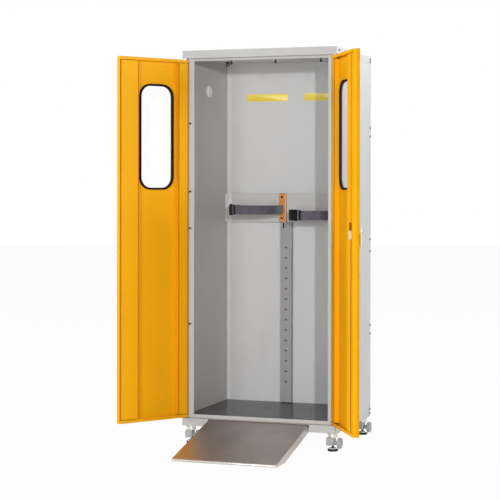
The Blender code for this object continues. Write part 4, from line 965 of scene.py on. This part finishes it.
def bracket_edge():
    """The pale return edge down the bracket's right side: its own light flange, lighter still as
    painted highlight.
    """
    low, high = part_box("strap_bracket")
    place = Vector((high.x - EDGE_IN, low.y - EDGE_OUT, (low.z + high.z) / 2))
    size = (EDGE_WIDE, high.z - low.z - EDGE_SHORT, EDGE_THICK)
    made_piece("bracket_return_edge", block, [(stand(place, FRONT, RIGHT), size, FINE_BEVEL)],
               "bracket_brown", "cabinet", CREAM_COAT)


# Catch on the upright: place, its lever's shift, and the size and bevel of both
CATCH_X, CATCH_OUT, CATCH_Z = -0.0545, 0.003, 0.9925
CATCH_LEVER = Vector((0.0, -0.0035, -0.010))
CATCH_BODY_SIZE, LEVER_SIZE = ((0.0065, 0.024, 0.006), 0.0014), ((0.0050, 0.0045, 0.008), 0.0012)


def upright_catch():
    """A small dark catch with its lever at the head of the slotted upright."""
    place = Vector((CATCH_X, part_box("upright")[0].y - CATCH_OUT, CATCH_Z))
    made_piece("upright_catch", block,
               [(stand(place, FRONT, RIGHT), *CATCH_BODY_SIZE),
                (stand(place + CATCH_LEVER, FRONT, RIGHT), *LEVER_SIZE)],
               "plastic_black", "cabinet")


# Strap loops: middle along the cabinet, radius and height, and their common middle in depth.
# A band round one has a section every few degrees, its end ones lower by the pull
LOOP_CENTRE_Y = 0.354
BAND_STEP, BAND_PULL = 3, 0.0008
LOOPS = {"left": (-0.170, 0.1125, 1.0700), "right": (0.1385, 0.118, 1.0455)}


def on_loop(word, degrees, out=0.0, up=0.0):
    """Place, outward way and forward way on a strap loop, in degrees from its left end."""
    centre, radius, level = LOOPS[word]
    angle = radians(180.0 + degrees)
    outward = Vector((cos(angle), sin(angle), 0.0))
    place = Vector((centre, LOOP_CENTRE_Y, level + up)) + outward * (radius + out)
    return place, outward, Vector((-outward.y, outward.x, 0.0))


def loop_band(word, low, high, inner, outer, half, ease):
    """Sections of a bent plate round a strap loop, chamfered, its ends drawn in."""
    section = [(inner, -half + ease), (inner + ease, -half), (outer - ease, -half),
               (outer, -half + ease), (outer, half - ease), (outer - ease, half),
               (inner + ease, half), (inner, half - ease)]
    steps = max(3, round((high - low) / BAND_STEP))
    rows = []
    for i in range(steps + 1):
        degrees = low + (high - low) * (i / steps)
        pull = BAND_PULL if i in (0, steps) else 0.0
        rows.append([on_loop(word, degrees, out, up - copysign(pull, up))[0]
                     for out, up in section])
    return rows


# Buckles, in degrees round the loop: strap, tongue from and to, bar and keeper from and to
BUCKLES = (("left", 30.0, 44.0, 47.0, (49.5, 56.0)),
           ("right", 30.0, 60.5, 64.0, (67.0, 71.5)))

# Bands as inner and outer face, half height and chamfer, and how far out ribs and bars lie
TONGUE = (-0.0030, 0.0070, 0.0265, 0.0018)
KEEPER = (-0.0032, 0.0034, 0.0240, 0.0012)
TONGUE_RIB, BUTTON_RIB, BUTTON_AT, BUTTON_STEP = 0.0068, 0.0074, 20.0, 0.016
BAR_OUT = 0.0012


def buckle_trim():
    """Tongues, bars and keepers of the two buckles, with their moulded ribs."""
    for word, low, high, bar_at, keeper in BUCKLES:
        bands = [(loop_band(word, low, high, *TONGUE),),
                 (loop_band(word, *keeper, *KEEPER),)]
        made_piece("buckle_tongue_" + word, skinned, bands, "plastic_black", "cabinet")
        spots = [(*on_loop(word, degrees, TONGUE_RIB)[:2], UP)
                 for degrees in (low + 4.0, (low + high) / 2, high - 2.5)]
        place, outward, forward = on_loop(word, BUTTON_AT, BUTTON_RIB)
        spots += [(place + forward * BUTTON_STEP * share, outward, UP)
                  for share in (-0.6, -0.2, 0.2, 0.6)]
        bars("buckle_ribs_" + word, spots, (0.040, 0.0028, 0.0036), "plastic_black",
             "cabinet")
        spots = [(*on_loop(word, bar_at, BAR_OUT)[:2], UP)]
        bars("buckle_bars_" + word, spots, (0.049, 0.0018, 0.0044), "zinc", "cabinet",
             DULL_NICKEL)


# Seams of each strap, in degrees round its loop. Each has five columns of nine upright
# stitches and a row of seven along either selvedge
SEAMS = {"left": (63.0, 172.0), "right": (75.0, 168.0)}
STITCH_COLUMNS = tuple(column * 1.6 for column in range(5))
STITCH_ROWS = tuple(-0.0160 + row * 0.0040 for row in range(9))
STITCH_RUN = tuple(-0.6 + column * 1.3 for column in range(7))
STITCH_RIM = 0.0185


def strap_stitches():
    """Boxes of sewn threads where each strap is turned back on itself."""
    thread = moulded("sewing_thread", (0.16, 0.15, 0.19), 0.6)
    out = WEB_THICK / 2 + 0.0001
    for word, seams_and_shade_lines in SEAMS.items():
        spots = []
        for start in seams_and_shade_lines:
            spots += [(*on_loop(word, start + along, out, up)[:2], UP)
                      for along in STITCH_COLUMNS for up in STITCH_ROWS]
            spots += [on_loop(word, start + along, out, side * STITCH_RIM)
                      for side in SIDES for along in STITCH_RUN]
        bars("strap_stitches_" + word, spots, (0.0030, 0.0008, 0.0006), "webbing_grey",
             "cabinet", thread, THREADS)


# Lock, in the right door's own ways: towards the free edge, outwards and up
LOCK_PLACE = Vector((0.52062, -0.32886, 0.986))
LOCK_EDGE = Vector((0.52101, -0.85355, 0.0))
LOCK_OUT = Vector((0.85355, 0.52101, 0.0))

# Outer faces of the case's rim, plate, hub and lever, and the inner face of the channel
CASE_FACE = 0.0213
PLATE_FACE = 0.0183
HUB_FACE = 0.0331
LEVER_FACE = 0.0334
CHANNEL_FACE = -0.0131

# Turned profiles as (radius, height)
KEY_PROFILE = ((0.0, 0.0), (0.0078, 0.0), (0.0078, 0.0012), (0.0070, 0.0019),
               (0.0056, 0.0019), (0.0052, 0.0014), (0.0, 0.0014))
COLLAR_PROFILE = ((0.0123, 0.0181), (0.0152, 0.0181), (0.0152, 0.0200), (0.0140, 0.0218),
                  (0.0123, 0.0218))
CAP_PROFILE = ((0.0, 0.0), (0.0072, 0.0), (0.0072, 0.0008), (0.0064, 0.0014),
               (0.0030, 0.0016), (0.0026, 0.0011), (0.0, 0.0011))
KEY_UP = 0.036
CASE_SCREWS = (-0.043, 0.0505)
LEVER_RIBS = tuple(-0.022 - 0.0042 * i for i in range(8))
COVER_UP, KEEP_UP = 0.0235, -0.0135
KEEP_RIVET_EDGE, KEEP_RIVET_UP = 0.009, 0.012


def at_lock(edge, out, up):
    """A place in the lock's own ways."""
    return LOCK_PLACE + LOCK_EDGE * edge + LOCK_OUT * out + Vector((0.0, 0.0, up))


def lock_stand(edge, out, up):
    """A frame in the lock that faces outwards."""
    return stand(at_lock(edge, out, up), LOCK_OUT, LOCK_EDGE)


def lock_trim():
    """Key cylinder and keyway outside, grip ribs and hub cap, cover and keep inside."""
    made_piece("key_cylinder", turned,
               [(lock_stand(0.0, CASE_FACE - 0.001, KEY_UP), KEY_PROFILE, 36)],
               "plastic_black", "door_right", BLACK_OXIDE)
    made_piece("handle_collar", turned,
               [(lock_stand(0.0, 0.0, 0.0), COLLAR_PROFILE, 40, True)],
               "plastic_black", "door_right", BLACK_OXIDE)
    slot_face = CASE_FACE + 0.0003
    made_piece("keyway", block,
               [(lock_stand(0.0, slot_face, KEY_UP), (0.0012, 0.0068, 0.0008), 0.0003),
                (lock_stand(0.0009, slot_face, 0.0375), (0.0014, 0.0020, 0.0008), 0.0003)],
               "plastic_black", "door_right")
    spots = [(at_lock(0.0, PLATE_FACE, up), LOCK_OUT, UP) for up in CASE_SCREWS]
    fasteners("lock_case_screws", spots, CASE_SCREW, "door_right", DARK_STEEL)
    made_piece("handle_cap", turned, [(lock_stand(0.0, HUB_FACE, 0.0), CAP_PROFILE, 32)],
               "plastic_black", "lock_handle", BLACK_OXIDE)
    spots = [(at_lock(0.0, LEVER_FACE, up), LOCK_OUT, LOCK_EDGE) for up in LEVER_RIBS]
    bars("handle_ribs", spots, (0.0085, 0.0018, 0.0018), "plastic_black", "lock_handle",
         BLACK_OXIDE)
    # The cover's dark brown is painted shade of the channel's opening that it covers
    cover = (lock_stand(0.0, CHANNEL_FACE - 0.0012, COVER_UP), (0.0315, 0.0350, 0.0026), 0.0008)
    made_piece("lock_cover", block, [cover], "bracket_brown", "door_right", COVER_SHADE_BROWN)
    keep = (lock_stand(0.0, CHANNEL_FACE - 0.0028, KEEP_UP), (0.0300, 0.0370, 0.0060), 0.0014)
    made_piece("lock_keep", block, [keep], "zinc", "door_right", CREAM_COAT)
    spots = [(at_lock(across * KEEP_RIVET_EDGE, CHANNEL_FACE - 0.0058,
                      KEEP_UP + above * KEEP_RIVET_UP), -LOCK_OUT, UP)
             for across in SIDES for above in SIDES]
    fasteners("lock_keep_screws", spots, KEEP_RIVET, "door_right", CREAM_COAT)


# Channel beads: name, foot, head and finish (door yellow darkened as painted shade), then their
# place, face and half section
CHANNEL_BEADS = (("lower", 0.1400, 0.9525, LOWER_BEAD_SHADE), ("upper", 1.0300, 1.7390, UPPER_BEAD_SHADE))
BEAD_EDGE, BEAD_FACE, BEAD_RADII = 0.009, -0.0130, (0.0042, -0.0032)
BEAD_END, BEAD_PULL = 0.002, 0.6


def channel_beads():
    """Half-round beads on the free channel's inner face, above and below the lock, in darkened
    door yellow as painted shade.
    """
    outline = oval((0.0, 0.0), BEAD_RADII, 20, end=181)
    for word, low, high, bead_shade in CHANNEL_BEADS:
        bead = [[at_lock(BEAD_EDGE + across * pull, BEAD_FACE + out * pull, z - LOCK_PLACE.z)
                 for across, out in outline]
                for z, pull in ((low, BEAD_PULL), (low + BEAD_END, 1.0),
                                (high - BEAD_END, 1.0), (high, BEAD_PULL))]
        made_piece("channel_shade_bead_" + word, skinned, [(bead,)], "door_yellow", "door_right",
                   bead_shade)


# Door: angle it stands open, way along it when shut, inner face, and where its folds run
DOOR_FOLDS = (("left", -125.0, 1.0, 0.2446,
               ((0.2958, 0.3013), (0.5104, 0.5158), (0.6006, 0.6050))),
              ("right", 121.4, -1.0, 0.2600, ((0.2784, 0.2846),)))
# Painted shade lines on the folds: foot and head, and the section's root, shoulder and crown out
# from the inner face
SHADE_LINE_FOOT, SHADE_LINE_HEAD = 0.1388, 1.7410
SHADE_LINE_ROOT, SHADE_LINE_SHOULDER, SHADE_LINE_CROWN = 0.0004, -0.0008, -0.0014


def fold_shade_lines():
    """Dark amber strips along the doors' folded channels: painted shade of the fold lines."""
    for word, degrees, sense, face, folds in DOOR_FOLDS:
        angle = radians(degrees)
        along = Vector((sense * cos(angle), sense * sin(angle), 0.0))
        outward = Vector((sin(angle), -cos(angle), 0.0))
        seams_and_shade_lines = []
        for start, end in folds:
            outline = [(start, SHADE_LINE_ROOT), (start, SHADE_LINE_SHOULDER),
                       (start - SHADE_LINE_SHOULDER, SHADE_LINE_CROWN), (end + SHADE_LINE_SHOULDER, SHADE_LINE_CROWN),
                       (end, SHADE_LINE_SHOULDER), (end, SHADE_LINE_ROOT)]
            seams_and_shade_lines.append(([[along * u + outward * (face + out) + Vector((0.0, 0.0, z))
                            for u, out in outline] for z in (SHADE_LINE_FOOT, SHADE_LINE_HEAD)],))
        made_piece("fold_shade_lines_" + word, skinned, seams_and_shade_lines, "door_yellow", "door_" + word,
                   FOLD_SHADE_AMBER)


# Wheel's axle cap as (radius, height over the face), and its ring as (share of the wheel's
# radius, height over the face)
AXLE_CAP = ((0.0, -0.001), (0.0050, -0.001), (0.0050, 0.0010), (0.0040, 0.0018), (0.0, 0.0018))
WHEEL_RING = ((0.97, -0.0012), (0.965, 0.0003), (0.90, 0.0009), (0.83, 0.0003),
              (0.82, -0.0012))
WHEEL_RIBS, RIB_FIRST, RIB_AT, RIB_LONG = 8, 22.5, 0.53, 0.60

# Levelling foot's dial as a ring's middle and radii, its grips, and the washer on it
DIAL, DIAL_RADII = (0.0184, 0.0058), (0.0052, 0.0050)
GRIPS, GRIP_AT, GRIP_UP = 18, 0.0233, 0.0058
WASHER = ((0.0138, 0.0100), (0.0196, 0.0104), (0.0200, 0.0112), (0.0166, 0.0140),
          (0.0138, 0.0143))


def round_ways(count, first=0.0):
    """Evenly spread ways round a circle, from an angle in degrees."""
    return [(cos(radians(360.0 / count * i + first)),
             sin(radians(360.0 / count * i + first))) for i in range(count)]


def castor_trim():
    """Rings, ribs and axle caps of the wheels, and the levelling feet's dials and washers."""
    gloss = moulded("glossy_black_dial", (0.012, 0.012, 0.013), 0.14, 0.00001)
    for word in CASTORS:
        wheel, foot = "wheel_" + word, "foot_" + word
        low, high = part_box("castor_wheel_" + word)
        radius = (high.z - low.z) / 2
        middle = (low + high) / 2
        face = high.x - middle.x
        axle = stand(middle, RIGHT, UP)
        cap = [(r, face + rise) for r, rise in AXLE_CAP]
        ring = [(radius * share, face + rise) for share, rise in WHEEL_RING]
        made_piece("wheel_rings_" + word, turned, [(axle, cap, 24), (axle, ring, 40, True)],
                   "castor_grey", wheel)
        hub = Vector((high.x, middle.y, middle.z))
        ways = [Vector((0.0, *way)) for way in round_ways(WHEEL_RIBS, RIB_FIRST)]
        spots = [(hub + way * radius * RIB_AT, RIGHT, way) for way in ways]
        bars("wheel_ribs_" + word, spots, (radius * RIB_LONG, 0.0022, 0.0016),
             "castor_grey", wheel)
        low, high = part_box("castor_foot_" + word)
        middle = Vector(((low.x + high.x) / 2, (low.y + high.y) / 2, 0.0))
        upright = stand(middle, UP, RIGHT)
        made_piece("foot_dial_" + word, turned,
                   [(upright, oval(DIAL, DIAL_RADII, 24), 44, True)], "rubber_black", foot,
                   gloss)
        grip = middle + Vector((0.0, 0.0, GRIP_UP))
        ways = [Vector((*way, 0.0)) for way in round_ways(GRIPS)]
        spots = [(grip + way * GRIP_AT, way, UP) for way in ways]
        bars("foot_dial_grips_" + word, spots, (0.0074, 0.0030, 0.0014), "rubber_black",
             foot, gloss)
        # The washer in white: painted reflection of bright metal
        made_piece("foot_washer_" + word, turned, [(upright, WASHER, 36, True)], "zinc", foot,
                   WHITE_PLUG_AND_WASHER_GLINT)


# Ramp's nose: radius of the roll, its middle behind and above the edge, how far its ends
# stand in, and their share of the radius
NOSE_RADIUS = 0.0040
NOSE_IN, NOSE_UP = 0.0038, 0.0060
NOSE_END, NOSE_FULL, NOSE_PULL = 0.001, 0.003, 0.7


def ramp_hem():
    """The rolled nose of the ramp, bright: a lighter steel than the ramp's as painted highlight.
    """
    low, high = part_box("ramp")
    outline = oval((0.0, 0.0), (NOSE_RADIUS, NOSE_RADIUS), 30)
    roll = [[(x, low.y + NOSE_IN + across * pull, NOSE_UP + up * pull)
             for across, up in outline]
            for x, pull in ((low.x + NOSE_END, NOSE_PULL), (low.x + NOSE_FULL, 1.0),
                            (high.x - NOSE_FULL, 1.0), (high.x - NOSE_END, NOSE_PULL))]
    made_piece("ramp_nose_roll", skinned, [(roll,)], "stainless", "ramp_deck", BRIGHT_STEEL_HIGHLIGHT)


stage_floor()
studio_world()
studio_lamps()
photo_camera()
dress_nodes()
strap_piece("web_left", "strap_left")
strap_piece("web_right", "strap_right")
small_fasteners()
ceiling_bolts()
ceiling_clip()
bare_signs()
corner_trim()
rail_end_plate()
bracket_edge()
upright_catch()
buckle_trim()
strap_stitches()
lock_trim()
channel_beads()
fold_shade_lines()
castor_trim()
ramp_hem()
